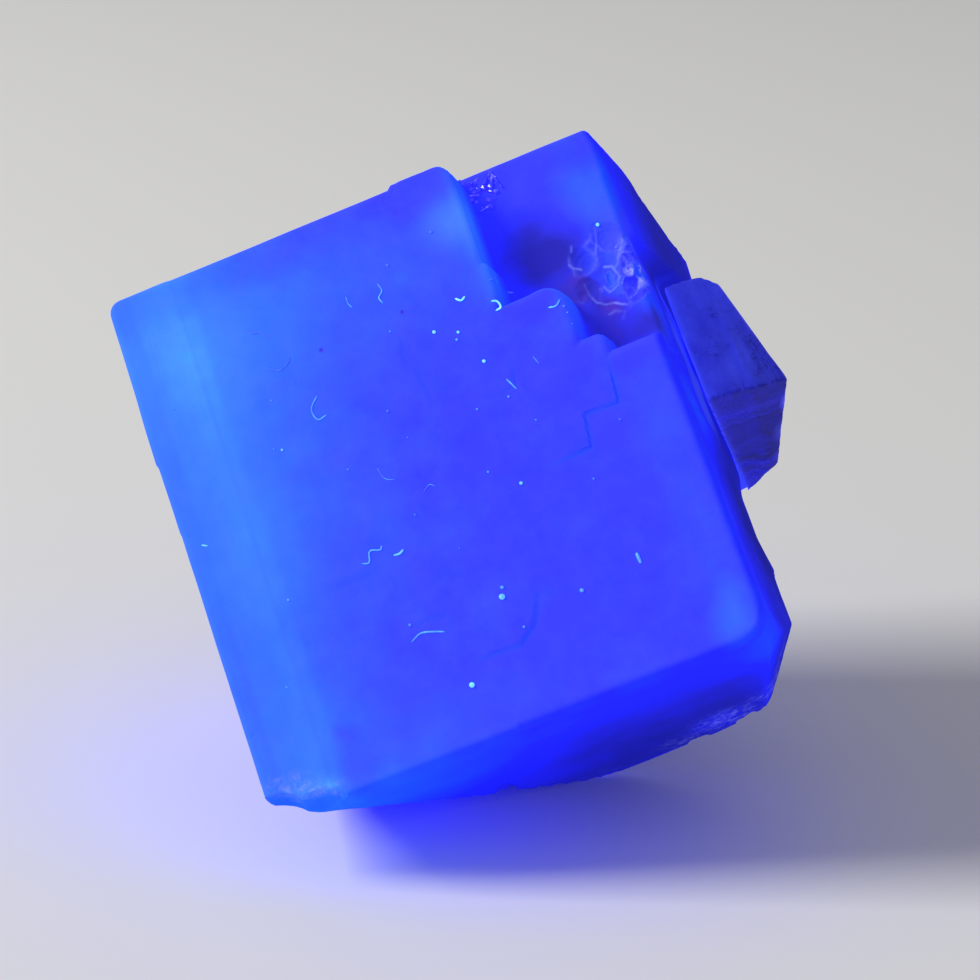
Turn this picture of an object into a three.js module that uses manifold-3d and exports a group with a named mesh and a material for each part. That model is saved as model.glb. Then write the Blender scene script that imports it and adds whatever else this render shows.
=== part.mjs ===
// Fluorite cube with a quartz crystal, a hand specimen that rests on its broken underside.
// Units are millimetres, +Z is up, and the origin is below the middle of the specimen, on the table.
//
// Every crystal outline is written in the fluorite's own lattice frame, whose axes are the cube
// edges: x runs right along the front face, y runs back into the crystal, z runs up the front face.
// Its zero is the upper left corner of the front face. One turn then sets the lattice on the table.
import * as THREE from 'three';
import { mergeVertices } from 'three/addons/utils/BufferGeometryUtils.js';
import Module from 'manifold-3d';

const wasm = await Module();
wasm.setup();

// ---- driving dimensions ------------------------------------------------------------------------
const FACE_WIDTH = 20.2;
const FACE_HEIGHT = 22.2;
const BLOCK_DEPTH = 13.8;
const RIM_BEVEL = 0.45;           // soft, slightly dissolved edges of the lower right front
const CRISP_BEVEL = 0.2;          // edges that kept their growth faces
const SET_BACK = 2.2;             // how far the second crystal's face lies behind the front face
const TERRACE_RISE = 0.12;        // one growth layer on the front face
const GAP = 0.3;                  // clearance between two solids that touch on the real specimen
const DRUSE_GAP = 0.1;
const SIDE_FOOT = -4.2;           // lower end of the growth steps on the right-hand side
const SIDE_REACH = 21.35;         // how far right the outer one of them reaches

// How the lattice lies on the table: it leans back, rolls to the left and twists a little.
const LEAN = THREE.MathUtils.degToRad(-36.6);
const ROLL = THREE.MathUtils.degToRad(-18.4);
const TWIST = THREE.MathUtils.degToRad(-13.9);
const SEAT_HEIGHT = 19.65;        // table to the lattice zero, set by where the break touches down

// How finely round shapes are faceted, and a length that is longer than the specimen.
const CURVE_SEGMENTS = 4;
const BEVEL_SEGMENTS = 2;
const BITE_DETAIL = 3;
const FAR = 60;

const FLUORITE_LOOK = { color: 0x3f55e8, roughness: 0.25, metalness: 0 };
const QUARTZ_LOOK = { color: 0x8f96c8, roughness: 0.15, metalness: 0 };
const DRUSE_LOOK = { color: 0xb9bfe6, roughness: 0.3, metalness: 0 };

// ---- small geometry tools ----------------------------------------------------------------------
const LATTICE_TO_TABLE = new THREE.Matrix4().makeRotationFromEuler(
  new THREE.Euler(LEAN, ROLL, TWIST, 'XYZ'),
).setPosition(0, 0, SEAT_HEIGHT);

/** A closed three.js geometry as a manifold solid. */
function solid(geometry) {
  const bare = (geometry.index ? geometry.toNonIndexed() : geometry).clone();
  bare.deleteAttribute('normal');
  bare.deleteAttribute('uv');
  const merged = mergeVertices(bare, 1e-5);
  return new wasm.Manifold(new wasm.Mesh({
    numProp: 3,
    vertProperties: new Float32Array(merged.attributes.position.array),
    triVerts: new Uint32Array(merged.index.array),
  }));
}

/** A solid's surface as a three.js geometry with flat facets. */
function surface(body) {
  const mesh = body.getMesh();
  const geometry = new THREE.BufferGeometry();
  geometry.setAttribute('position', new THREE.BufferAttribute(mesh.vertProperties, mesh.numProp));
  geometry.setIndex(new THREE.BufferAttribute(mesh.triVerts, 1));
  return geometry;
}

/** A closed outline through corners [x, z, radius]; a radius rounds its corner. */
function outline(corners) {
  const shape = new THREE.Shape();
  corners.forEach(([x, z, radius = 0], i) => {
    const here = new THREE.Vector2(x, z);
    const [px, pz] = corners[(i + corners.length - 1) % corners.length];
    const [nx, nz] = corners[(i + 1) % corners.length];
    const enter = new THREE.Vector2(px, pz).sub(here).setLength(radius).add(here);
    const leave = new THREE.Vector2(nx, nz).sub(here).setLength(radius).add(here);
    if (i === 0) {
      shape.moveTo(enter.x, enter.y);
    } else {
      shape.lineTo(enter.x, enter.y);
    }
    if (radius > 0) {
      shape.quadraticCurveTo(x, z, leave.x, leave.y);
    }
  });
  shape.closePath();
  return shape;
}

/** An outline in the plane of the front face, carried back from depth near to depth far. */
function slab(corners, near, far, bevel = 0) {
  const geometry = new THREE.ExtrudeGeometry(outline(corners), {
    depth: far - near - 2 * bevel,
    curveSegments: CURVE_SEGMENTS,
    bevelEnabled: bevel > 0,
    bevelThickness: bevel,
    bevelSize: bevel,
    bevelOffset: -bevel,
    bevelSegments: BEVEL_SEGMENTS,
  });
  geometry.rotateX(Math.PI / 2);
  geometry.translate(0, far - bevel, 0);
  return solid(geometry);
}

/** A crystal-edge box between two corners. */
function block([x0, y0, z0], [x1, y1, z1]) {
  const geometry = new THREE.BoxGeometry(x1 - x0, y1 - y0, z1 - z0);
  geometry.translate((x0 + x1) / 2, (y0 + y1) / 2, (z0 + z1) / 2);
  return solid(geometry);
}

/** All that lies beyond a break plane, to be cut away: a large box on the plane's outer side. */
function beyond(point, outward) {
  const width = 4 * FAR;
  const geometry = new THREE.BoxGeometry(width, width, width);
  geometry.translate(0, 0, width / 2);
  const turn = new THREE.Quaternion().setFromUnitVectors(
    new THREE.Vector3(0, 0, 1),
    new THREE.Vector3(...outward).normalize(),
  );
  geometry.applyQuaternion(turn);
  geometry.translate(...point);
  return solid(geometry);
}

/** A shallow shell-shaped bite or knob, as a faceted ellipsoid. */
function bite(centre, radii, turn = 0) {
  const geometry = new THREE.IcosahedronGeometry(1, BITE_DETAIL);
  geometry.scale(...radii);
  geometry.rotateY(turn);
  geometry.translate(...centre);
  return solid(geometry);
}

// ---- fluorite ----------------------------------------------------------------------------------
// The front of the crystal: four blocks grown side by side, so that the upper right corner goes
// down in steps. Each has its edge bevel and an outline that reaches down to the lower edge.
const FRONT_BLOCKS = [
  [CRISP_BEVEL, [
    [0.05, 0.03, 0.5],
    [12.15, 0.03],
    [12.3, 0.2],
    [14.75, 0.1, 0.9],
    [14.65, -4.15],
    [14.9, -4.5],
    [14.9, -FACE_HEIGHT],
    [0.1, -FACE_HEIGHT],
    [0.2, -20.2],
    [0.12, -10],
    [-0.05, -7.1],
  ]],
  [RIM_BEVEL, [
    [5, -6.2],
    [17.2, -6.25, 1],
    [17.4, -8.8],
    [17.4, -FACE_HEIGHT],
    [5, -FACE_HEIGHT],
  ]],
  [CRISP_BEVEL, [
    [6, -8.75],
    [18.15, -8.75, 0.5],
    [18.3, -FACE_HEIGHT],
    [6, -FACE_HEIGHT],
  ]],
  [RIM_BEVEL, [
    [7, -9.62],
    [20.05, -9.6, 0.8],
    [FACE_WIDTH, -13.9],
    [FACE_WIDTH, -FACE_HEIGHT, 1.5],
    [7, -FACE_HEIGHT],
  ]],
];

// The crystal behind it, grown in parallel; it shows at the upper right as a lower, clearer face.
const SET_BACK_FACE = [
  [9, 0.15],
  [20.05, 0.15],
  [20.5, -0.5],
  [20.25, -4],
  [20.15, -7.2],
  [FACE_WIDTH, -13.4],
  [FACE_WIDTH, -18],
  [9, -18],
];

// The right-hand side widens towards the back in two more growth steps [near depth, outline].
const SIDE_STEPS = [
  [5, [
    [16, 0.12],
    [20.45, 0.12],
    [20.75, -0.7],
    [20.8, SIDE_FOOT],
    [16, SIDE_FOOT],
  ]],
  [9, [
    [16, 0.1],
    [20.75, 0.1],
    [21.1, -0.9],
    [SIDE_REACH, SIDE_FOOT],
    [16, SIDE_FOOT],
  ]],
];

// Growth layers on the front face, each a low plateau with stepped edges along the lattice.
const GROWTH_LAYERS = [
  [
    [1.6, -1.4], [13.4, -1.4], [13.5, -6.9], [16.2, -7.2], [16.9, -9.4], [18, -9.6], [17.8, -11.75],
    [16.4, -11.7], [16.25, -13], [14.3, -13.1], [14.2, -15.4], [13.1, -15.5], [13.05, -17.6],
    [12.4, -17.65], [11.95, -18.6], [11.2, -19.2], [9.2, -19.1], [9, -17.05], [7.45, -16.85],
    [7.35, -14.4], [4.6, -14.4], [4.5, -16.8], [2.1, -16.9],
  ],
  [
    [3.2, -2.6], [10.7, -2.6], [10.6, -5.6], [10.4, -7.25], [10.9, -7.5], [11.05, -8.95],
    [10.9, -9.9], [7.9, -10], [7.8, -12], [3.9, -12.1],
  ],
];

/** One growth layer, standing proud of the front face by its number of rises. */
function growthLayer(corners, level) {
  return slab(corners, -level * TERRACE_RISE, RIM_BEVEL);
}

// Break planes [point on the plane, outward direction], where the specimen came off its matrix.
const BREAKS = [
  [[6.44, 8.2, -FACE_HEIGHT], [-0.843, 0.537, -1.75]],
  [[9.1, 11.6, -FACE_HEIGHT], [-0.776, 0.631, -1.75]],
  [[FACE_WIDTH, 11.4, -19.5], [0.811, 0.122, -0.573]],
  [[12.66, BLOCK_DEPTH, -FACE_HEIGHT], [0.1, 0.97, -0.25]],
  [[FACE_WIDTH, 12.6, -15], [0.5, 0.86, -0.1]],
];

// Octahedral cleavage across the upper left corner at the back, as fluorite splits.
const CLEAVAGES = [
  [[2.8, BLOCK_DEPTH, 0], [-1, 1, 1]],
];

// Shell-shaped chips [centre, radii, turn].
const CHIPS = [
  [[0.1, 0.4, -22.3], [1.35, 1.5, 1.0], 0.5],
  [[1.75, 1.2, -22.75], [0.8, 1.4, 0.8], 0],
  [[19.3, SET_BACK - 0.1, -5.6], [1.3, 0.55, 1.6], 0.3],
  [[18.5, SET_BACK - 0.05, -6.3], [0.9, 0.5, 0.75], 0.9],
  [[7.45, 9, -22.6], [0.55, 1.1, 0.6], 0],
  [[15, 14.3, -22.4], [1.1, 1.2, 0.8], 0.2],
  [[17.3, 12.9, -22.3], [1.3, 1.5, 1], 0.7],
];

// Smaller cubes grown out of the back, in parallel with the large one: [low corner, high corner].
const BACK_CUBES = [
  [[4.2, 9, -12.4], [11.6, 15.6, -3.9]],
  [[1.9, 9, -21], [8.7, 15.5, -14.1]],
];

function fluoriteCrystal() {
  let crystal = slab(SET_BACK_FACE, SET_BACK, BLOCK_DEPTH, CRISP_BEVEL);
  for (const [bevel, corners] of FRONT_BLOCKS) {
    crystal = crystal.add(slab(corners, 0, BLOCK_DEPTH, bevel));
  }
  for (const [near, corners] of SIDE_STEPS) {
    crystal = crystal.add(slab(corners, near, BLOCK_DEPTH, CRISP_BEVEL));
  }
  for (const [low, high] of BACK_CUBES) {
    crystal = crystal.add(block(low, high));
  }
  GROWTH_LAYERS.forEach((corners, i) => {
    crystal = crystal.add(growthLayer(corners, i + 1));
  });
  for (const [point, outward] of [...BREAKS, ...CLEAVAGES]) {
    crystal = crystal.subtract(beyond(point, outward));
  }
  for (const [centre, radii, turn] of CHIPS) {
    crystal = crystal.subtract(bite(centre, radii, turn));
  }
  return crystal;
}

// ---- quartz ------------------------------------------------------------------------------------
// One quartz crystal is a six-sided prism closed by a six-faced pyramid. Its front is a striated
// prism face below and a broad pyramid face above, which meet in a ridge.
const RIDGE_END = new THREE.Vector3(23.71, 12.38, -9.42);
const RIDGE = new THREE.Vector3(0.645, 0.748, 0.154).normalize();
const TIP = new THREE.Vector3(0.453, -0.537, 0.712).projectOnPlane(RIDGE).normalize();
const OUT = new THREE.Vector3().crossVectors(RIDGE, TIP).normalize();
const PYRAMID_LIFT = THREE.MathUtils.degToRad(38.2);
const HALF_RIDGE = 3.1;
const HALF_THICKNESS = 3;
const QUARTZ_LEFT_END = 14.6;     // where the crystal ends behind the fluorite

// How far each face lies outside the one that a regular crystal would have, in order round it.
const PRISM_GROWTH = [0, 0, -0.5, 0.4, 0.4, 1.9];
const PYRAMID_GROWTH = [0, 0, 0.2, 0.3, 0.6, 1.2];

/** The faces of a quartz crystal round a centre, as [point, outward normal] pairs. */
function quartzFaces(centre) {
  const prismReach = [0, 1, 2, 3, 4, 5].map((k) => {
    const angle = (k * Math.PI) / 3;
    return Math.abs(Math.cos(angle)) * HALF_THICKNESS + Math.abs(Math.sin(angle)) * HALF_RIDGE;
  });
  return prismReach.flatMap((reach, k) => {
    const angle = (k * Math.PI) / 3;
    const prism = OUT.clone().multiplyScalar(Math.cos(angle))
      .addScaledVector(RIDGE, Math.sin(angle));
    const pyramid = prism.clone().multiplyScalar(Math.cos(PYRAMID_LIFT))
      .addScaledVector(TIP, Math.sin(PYRAMID_LIFT));
    const pyramidReach = reach * Math.cos(PYRAMID_LIFT);
    return [
      [centre.clone().addScaledVector(prism, reach + PRISM_GROWTH[k]), prism],
      [centre.clone().addScaledVector(pyramid, pyramidReach + PYRAMID_GROWTH[k]), pyramid],
    ];
  });
}

// The broken foot of the crystal and its blunted tip [point, outward direction].
const QUARTZ_BREAKS = [
  [[21.8, 9.35, -4.66], [-0.184, -0.207, 0.961]],
  [[21.8, 9.35, -4.66], [0.203, 0.263, 0.944]],
  [[21.8, 14.33, -12.23], [0.39, 0.3, -0.87]],
  [[20.5, 13.6, -13], [0.1, 0.62, -0.78]],
];

/** The space that the fluorite takes where the quartz grew against it, with the clearance. */
function fluoriteClearance() {
  const back = BLOCK_DEPTH + GAP;
  let taken = block([-FAR, -FAR, -FAR], [FACE_WIDTH + GAP, back, FAR]);
  taken = taken.add(block([0, -FAR, SIDE_FOOT - GAP], [SIDE_REACH + GAP, back, FAR]));
  for (const [low, high] of BACK_CUBES) {
    taken = taken.add(block(low.map((v) => v - GAP), high.map((v) => v + GAP)));
  }
  return taken;
}

function quartzCrystal() {
  const centre = RIDGE_END.clone()
    .addScaledVector(RIDGE, -HALF_RIDGE)
    .addScaledVector(OUT, -HALF_THICKNESS);
  let crystal = block([QUARTZ_LEFT_END, -FAR, -FAR], [FAR, FAR, FAR]);
  for (const [point, normal] of quartzFaces(centre)) {
    crystal = crystal.subtract(beyond(point.toArray(), normal.toArray()));
  }
  for (const [point, outward] of QUARTZ_BREAKS) {
    crystal = crystal.subtract(beyond(point, outward));
  }
  return crystal.subtract(fluoriteClearance());
}

// ---- small quartz points on the set-back face ----------------------------------------------------
const DRUSE_CENTRE = [15.42, SET_BACK, -0.75];
const DRUSE_BED = [0.78, 0.16, 0.58];   // half sizes of the crust that the points stand on
const POINT_ROOT = 0.4;                 // length of a point below the face, before it is trimmed
const POINT_SIDES = 6;

// The points [right, up, radius, height, lean right, lean up], from the middle of the patch.
const DRUSE_POINTS = [
  [0, 0, 0.2, 0.46, 0.2, 0.1],
  [0.34, 0.14, 0.16, 0.36, 0.5, 0.1],
  [-0.32, 0.1, 0.18, 0.34, -0.4, 0.2],
  [0.1, -0.32, 0.17, 0.36, 0.1, -0.5],
  [-0.24, -0.3, 0.14, 0.3, -0.3, -0.4],
  [0.05, 0.37, 0.15, 0.34, 0, 0.5],
  [0.42, -0.2, 0.13, 0.3, 0.6, -0.3],
  [-0.56, -0.12, 0.13, 0.26, -0.6, 0],
  [-0.28, 0.38, 0.12, 0.26, -0.3, 0.5],
];

/** One short six-sided point on a base, along the outward direction of the front face. */
function quartzPoint([right, up, radius, height, leanRight, leanUp]) {
  const profile = [
    new THREE.Vector2(0, -POINT_ROOT),
    new THREE.Vector2(radius, -POINT_ROOT),
    new THREE.Vector2(radius, height - radius),
    new THREE.Vector2(0, height),
  ];
  const geometry = new THREE.LatheGeometry(profile, POINT_SIDES);
  geometry.rotateX(Math.PI - leanUp);
  geometry.rotateZ(leanRight);
  geometry.translate(DRUSE_CENTRE[0] + right, DRUSE_CENTRE[1], DRUSE_CENTRE[2] + up);
  return solid(geometry);
}

function quartzDruse() {
  let druse = bite(DRUSE_CENTRE, DRUSE_BED);
  for (const point of DRUSE_POINTS) {
    druse = druse.add(quartzPoint(point));
  }
  return druse.subtract(beyond([0, SET_BACK - DRUSE_GAP, 0], [0, 1, 0]));
}

// ---- on the table --------------------------------------------------------------------------------
/** A lattice-frame solid set on the table, with all below the table's surface cut off flat. */
function settle(name, body, look) {
  const geometry = surface(body);
  geometry.applyMatrix4(LATTICE_TO_TABLE);
  const ground = block([-FAR, -FAR, -FAR], [FAR, FAR, 0]);
  const mesh = new THREE.Mesh(
    surface(solid(geometry).subtract(ground)),
    new THREE.MeshStandardMaterial({ ...look, flatShading: true }),
  );
  mesh.name = name;
  return mesh;
}

const group = new THREE.Group();
group.add(settle('fluorite_crystal', fluoriteCrystal(), FLUORITE_LOOK));
group.add(settle('quartz_crystal', quartzCrystal(), QUARTZ_LOOK));
group.add(settle('quartz_druse', quartzDruse(), DRUSE_LOOK));

const middle = new THREE.Box3().setFromObject(group).getCenter(new THREE.Vector3());
group.position.set(-middle.x, -middle.y, 0);
group.updateMatrixWorld(true);

export default group;
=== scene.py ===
"""Fluorite cube with a quartz crystal: the finished specimen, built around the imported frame.

Shapes are worked out in the fluorite's own lattice frame, in millimetres: x runs right along the
large cube face, y runs back into the crystal, z runs up the face, and zero is the upper left corner
of that face. One turn then sets the lattice on the table, in metres.
"""

from __future__ import annotations

import logging
import math
from dataclasses import dataclass, field
from enum import Enum
from typing import Any

import bpy
import numpy as np
from mathutils import Euler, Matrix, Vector


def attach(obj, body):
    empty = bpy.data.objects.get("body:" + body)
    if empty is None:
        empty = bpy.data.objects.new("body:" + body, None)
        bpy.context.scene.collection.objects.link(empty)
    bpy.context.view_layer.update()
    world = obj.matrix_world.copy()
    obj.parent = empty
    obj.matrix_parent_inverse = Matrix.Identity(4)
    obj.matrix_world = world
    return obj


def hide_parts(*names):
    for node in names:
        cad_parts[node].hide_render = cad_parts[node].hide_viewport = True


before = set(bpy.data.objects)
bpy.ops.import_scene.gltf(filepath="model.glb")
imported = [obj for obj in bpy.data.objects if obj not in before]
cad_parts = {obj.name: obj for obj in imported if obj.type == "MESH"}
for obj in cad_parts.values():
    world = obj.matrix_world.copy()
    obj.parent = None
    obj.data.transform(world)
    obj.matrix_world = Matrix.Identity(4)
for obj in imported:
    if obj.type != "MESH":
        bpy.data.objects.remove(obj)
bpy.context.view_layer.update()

log = logging.getLogger("specimen")

MM = 0.001
ROOT = "root"

# How the lattice lies on the table, as the solids have it: twisted, rolled and then leaned back.
LATTICE_TURN = Euler((math.radians(-36.6), math.radians(-18.4), math.radians(-13.9)), "ZYX")
LATTICE_ZERO_MM = (-13.915, 0.687, 19.65)

# The block's large face and depth, and how far the set-back crystal's face lies behind it.
FACE_WIDTH = 20.2
FACE_HEIGHT = 22.2
BLOCK_DEPTH = 13.8
SET_BACK = 2.2

# Too short to divide by, in mm; and how many samples add up the cells of a graded grid.
TINY = 1e-9
GRADE_SAMPLES = 6001

# Large whole numbers that scramble a corner of the noise grid into its height.
SCRAMBLE = np.array([73856093, 19349663, 83492791])
SEED_STEP = 6542989
MIX = 2246822519
LAST_BITS = 0xFFFF

Point = tuple[float, float, float]
Spot = tuple[float, float]
Colour = tuple[float, float, float, float]
Stops = tuple[tuple[float, float | str], ...]


class Axis(Enum):
    """The three directions of the lattice."""

    X = 0
    Y = 1
    Z = 2


class Mark(Enum):
    """The values that a mesh stores, one per vertex, for its material to read."""

    SEAM_SHADE = "seam"
    RIM = "rim"
    FRESH = "fresh"
    RIDGE = "ridge"
    FACET_SHADE = "facet_shade"
    SKIN = "skin"
    EDGE_HIGHLIGHT = "edge"
    LIGHT_AND_SHADE_PATCHES = "patches"
    FROST = "frost"
    MILK_LIGHT_AND_SHADE = "milk_light_and_shade"
    BELOW = "below"
    PRISM = "prism"
    JOINT_GLOW = "contact"
    TIP = "tip"
    SHINE = "shine"


# ---- small tools ---------------------------------------------------------------------------------
def lattice_matrix() -> np.ndarray:
    """The turn from lattice axes to table axes, as a 3 by 3 array."""
    return np.array(LATTICE_TURN.to_matrix())


def to_table(points: np.ndarray) -> np.ndarray:
    """Lattice points in millimetres, turned, moved to their place and given in metres."""
    return (points @ lattice_matrix().T + np.array(LATTICE_ZERO_MM)) * MM


def table_height_plane() -> tuple[np.ndarray, float]:
    """The table's surface in the lattice frame: its upward normal, and its distance from zero."""
    normal = lattice_matrix()[2]
    return normal, -LATTICE_ZERO_MM[2]


def value_noise(points: np.ndarray, seed: int) -> np.ndarray:
    """Smooth noise: each whole-number corner has a fixed height, blended in between.

    Args:
        points: positions, one row each, in units of the noise's own grid.
        seed: picks another set of corner heights.

    Returns:
        Heights from -1 to 1.
    """
    cell = np.floor(points).astype(np.int64)
    part = points - cell
    blend = part * part * (3.0 - 2.0 * part)
    total = np.zeros(len(points))
    for corner in np.ndindex(2, 2, 2):
        key = cell + np.array(corner)
        mixed = key @ SCRAMBLE + seed * SEED_STEP
        mixed = (mixed ^ (mixed >> 15)) * MIX
        mixed = (mixed ^ (mixed >> 13)) & LAST_BITS
        weight = np.prod(np.where(corner, blend, 1.0 - blend), axis=1)
        total += weight * (mixed / (0.5 * LAST_BITS) - 1.0)
    return total


def rough(points: np.ndarray, size: float, layers: int, seed: int) -> np.ndarray:
    """Layers of value noise added up, each half as wide and half as high as the one before.

    Args:
        points: positions in mm, one row each.
        size: width of the first layer's cells, in mm.
        layers: number of layers.
        seed: picks another set of heights.

    Returns:
        A height for each point.
    """
    total = np.zeros(len(points))
    for layer in range(layers):
        scale = 2.0**layer
        total += value_noise(points * (scale / size), seed + layer) / scale
    return total


def rows(*columns: np.ndarray | float) -> np.ndarray:
    """Columns side by side, with a single number repeated all the way down."""
    return np.stack(np.broadcast_arrays(*columns), axis=-1).astype(float)


@dataclass(frozen=True)
class Relief:
    """Uneven ground: how high and wide its largest bumps are, in mm, and its layers and seed."""

    height: float
    width: float
    layers: int
    seed: int

    def at(self, *place: np.ndarray | float) -> np.ndarray:
        """The height at each place, given by its coordinates."""
        return self.height * rough(rows(*place), self.width, self.layers, self.seed)


def smooth_step(value: np.ndarray, low: float, high: float) -> np.ndarray:
    """0 below low, 1 above high, and a smooth rise in between."""
    part = np.clip((value - low) / (high - low), 0.0, 1.0)
    return part * part * (3.0 - 2.0 * part)


def distance_to_line(x: np.ndarray, z: np.ndarray, corners: np.ndarray) -> np.ndarray:
    """Distance from each point to the nearest stretch of a line through corners.

    Args:
        x: lattice x of each point.
        z: lattice z of each point.
        corners: the line's corners, one row each.

    Returns:
        The distances.
    """
    best = np.full(x.shape, np.inf)
    for (ax, az), (bx, bz) in zip(corners[:-1], corners[1:]):
        along = ((x - ax) * (bx - ax) + (z - az) * (bz - az)) / ((bx - ax) ** 2 + (bz - az) ** 2)
        along = np.clip(along, 0.0, 1.0)
        best = np.minimum(best, np.hypot(x - ax - along * (bx - ax), z - az - along * (bz - az)))
    return best


def is_inside(x: np.ndarray, z: np.ndarray, corners: np.ndarray) -> np.ndarray:
    """Whether each point lies inside a closed outline: a ray to the right crosses it oddly often.

    Args:
        x: lattice x of each point.
        z: lattice z of each point.
        corners: the outline's corners, one row each.

    Returns:
        True for each point inside.
    """
    crossings = np.zeros(x.shape, int)
    for (ax, az), (bx, bz) in zip(corners, np.roll(corners, -1, axis=0)):
        if az == bz:
            continue
        spans = (az > z) != (bz > z)
        crossings += spans & (x < ax + (z - az) * (bx - ax) / (bz - az))
    return crossings % 2 == 1


def graded_lines(sizes: tuple[Spot, ...], count: int) -> np.ndarray:
    """Grid lines whose spacing follows a wanted cell size.

    The running total of one over the cell size is shared out evenly into count cells.

    Args:
        sizes: places, from one end of the grid to the other, each with the wanted cell size.
        count: number of cells.

    Returns:
        The positions of count + 1 lines.
    """
    knots, cells = np.array(sizes).T
    dense = np.linspace(knots[0], knots[-1], GRADE_SAMPLES)
    density = 1.0 / np.interp(dense, knots, cells)
    total = np.concatenate([[0.0], np.cumsum((density[1:] + density[:-1]) / 2.0)])
    return np.interp(np.linspace(0.0, total[-1], count + 1), total, dense)


def squares_of(sheet: np.ndarray) -> np.ndarray:
    """The square cells of a sheet of point numbers, as rows of four corners."""
    corners = sheet[:-1, :-1], sheet[:-1, 1:], sheet[1:, 1:], sheet[1:, :-1]
    return np.stack(corners, axis=-1).reshape(-1, 4)


def make_piece(
    name: str, points: np.ndarray, faces: list[list[int]], crease_deg: float
) -> bpy.types.Object:
    """A mesh piece from lattice points, with edges sharper than crease_deg shaded as edges.

    Args:
        name: the piece's name.
        points: its points in lattice millimetres.
        faces: the point numbers of each face.
        crease_deg: the angle, in degrees.

    Returns:
        The piece, linked to the scene.
    """
    mesh = bpy.data.meshes.new(name)
    mesh.from_pydata(to_table(points).tolist(), [], faces)
    mesh.update()
    mesh.shade_smooth()
    mesh.set_sharp_from_angle(angle=math.radians(crease_deg))
    piece = bpy.data.objects.new(name, mesh)
    bpy.context.scene.collection.objects.link(piece)
    return piece


def lattice_points(piece: bpy.types.Object) -> np.ndarray:
    """The vertices of a piece in lattice millimetres.

    Args:
        piece: any piece.

    Returns:
        One row for each vertex.
    """
    corners = np.empty(3 * len(piece.data.vertices))
    piece.data.vertices.foreach_get("co", corners)
    turn, zero = lattice_matrix(), np.array(LATTICE_ZERO_MM)
    return (corners.reshape(-1, 3) / MM - zero) @ turn


def add_values(piece: bpy.types.Object, mark: Mark, values: np.ndarray) -> None:
    """Stores one number per vertex, for a material to read."""
    layer = piece.data.attributes.new(mark.value, "FLOAT", "POINT")
    layer.data.foreach_set("value", values.astype(np.float32))


# ---- fluorite ------------------------------------------------------------------------------------
@dataclass(frozen=True)
class Plane:
    """A break or cleavage plane in the lattice frame: a point on it and its outward direction."""

    point: Point
    outward: Point

    def solve(self, axis: Axis, x: np.ndarray, y: np.ndarray, z: np.ndarray) -> np.ndarray:
        """The coordinate along one axis at which the plane is met, from the other two.

        Args:
            axis: the wanted coordinate, whose own value is ignored.
            x: lattice x of each point.
            y: lattice y of each point.
            z: lattice z of each point.

        Returns:
            That coordinate for each point.
        """
        offsets = x - self.point[0], y - self.point[1], z - self.point[2]
        others = sum(self.outward[i] * offsets[i] for i in range(3) if i != axis.value)
        return self.point[axis.value] - others / self.outward[axis.value]


@dataclass(frozen=True)
class Chip:
    """A shell-shaped chip: an ellipsoid, and the way in which its surface is pushed in."""

    centre: Point
    radii: Point
    inward: Point
    ripple: float = 0.02
    ripple_step: float = 0.3

    def carve(self, points: np.ndarray) -> tuple[np.ndarray, np.ndarray]:
        """Moves each point inside the ellipsoid along inward, to the ellipsoid's far side.

        That side is where the ray from the point along inward leaves the ellipsoid: the larger
        root of a quadratic, a*t*t + 2*b*t + c = 0. Ripples spread over the new surface from the
        point where the blow struck.

        Args:
            points: the surface so far.

        Returns:
            The chipped surface, and 1 for each point that the chip moved.
        """
        direction = np.array(self.inward) / np.linalg.norm(self.inward)
        offset = (points - self.centre) / self.radii
        step = direction / self.radii
        a = step @ step
        b = offset @ step
        c = (offset**2).sum(axis=1) - 1.0
        travel = np.where(c < 0.0, (-b + np.sqrt(np.maximum(b * b - a * c, 0.0))) / a, 0.0)
        depth = np.clip(travel / max(self.radii), 0.0, 1.0)
        struck = np.array(self.centre) - direction * max(self.radii)
        reach = np.linalg.norm(points - struck, axis=1)
        wave = self.ripple * depth * np.sin(reach * 2.0 * math.pi / self.ripple_step)
        return points + (travel + wave)[:, None] * direction, (travel > 0.01).astype(float)


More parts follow.
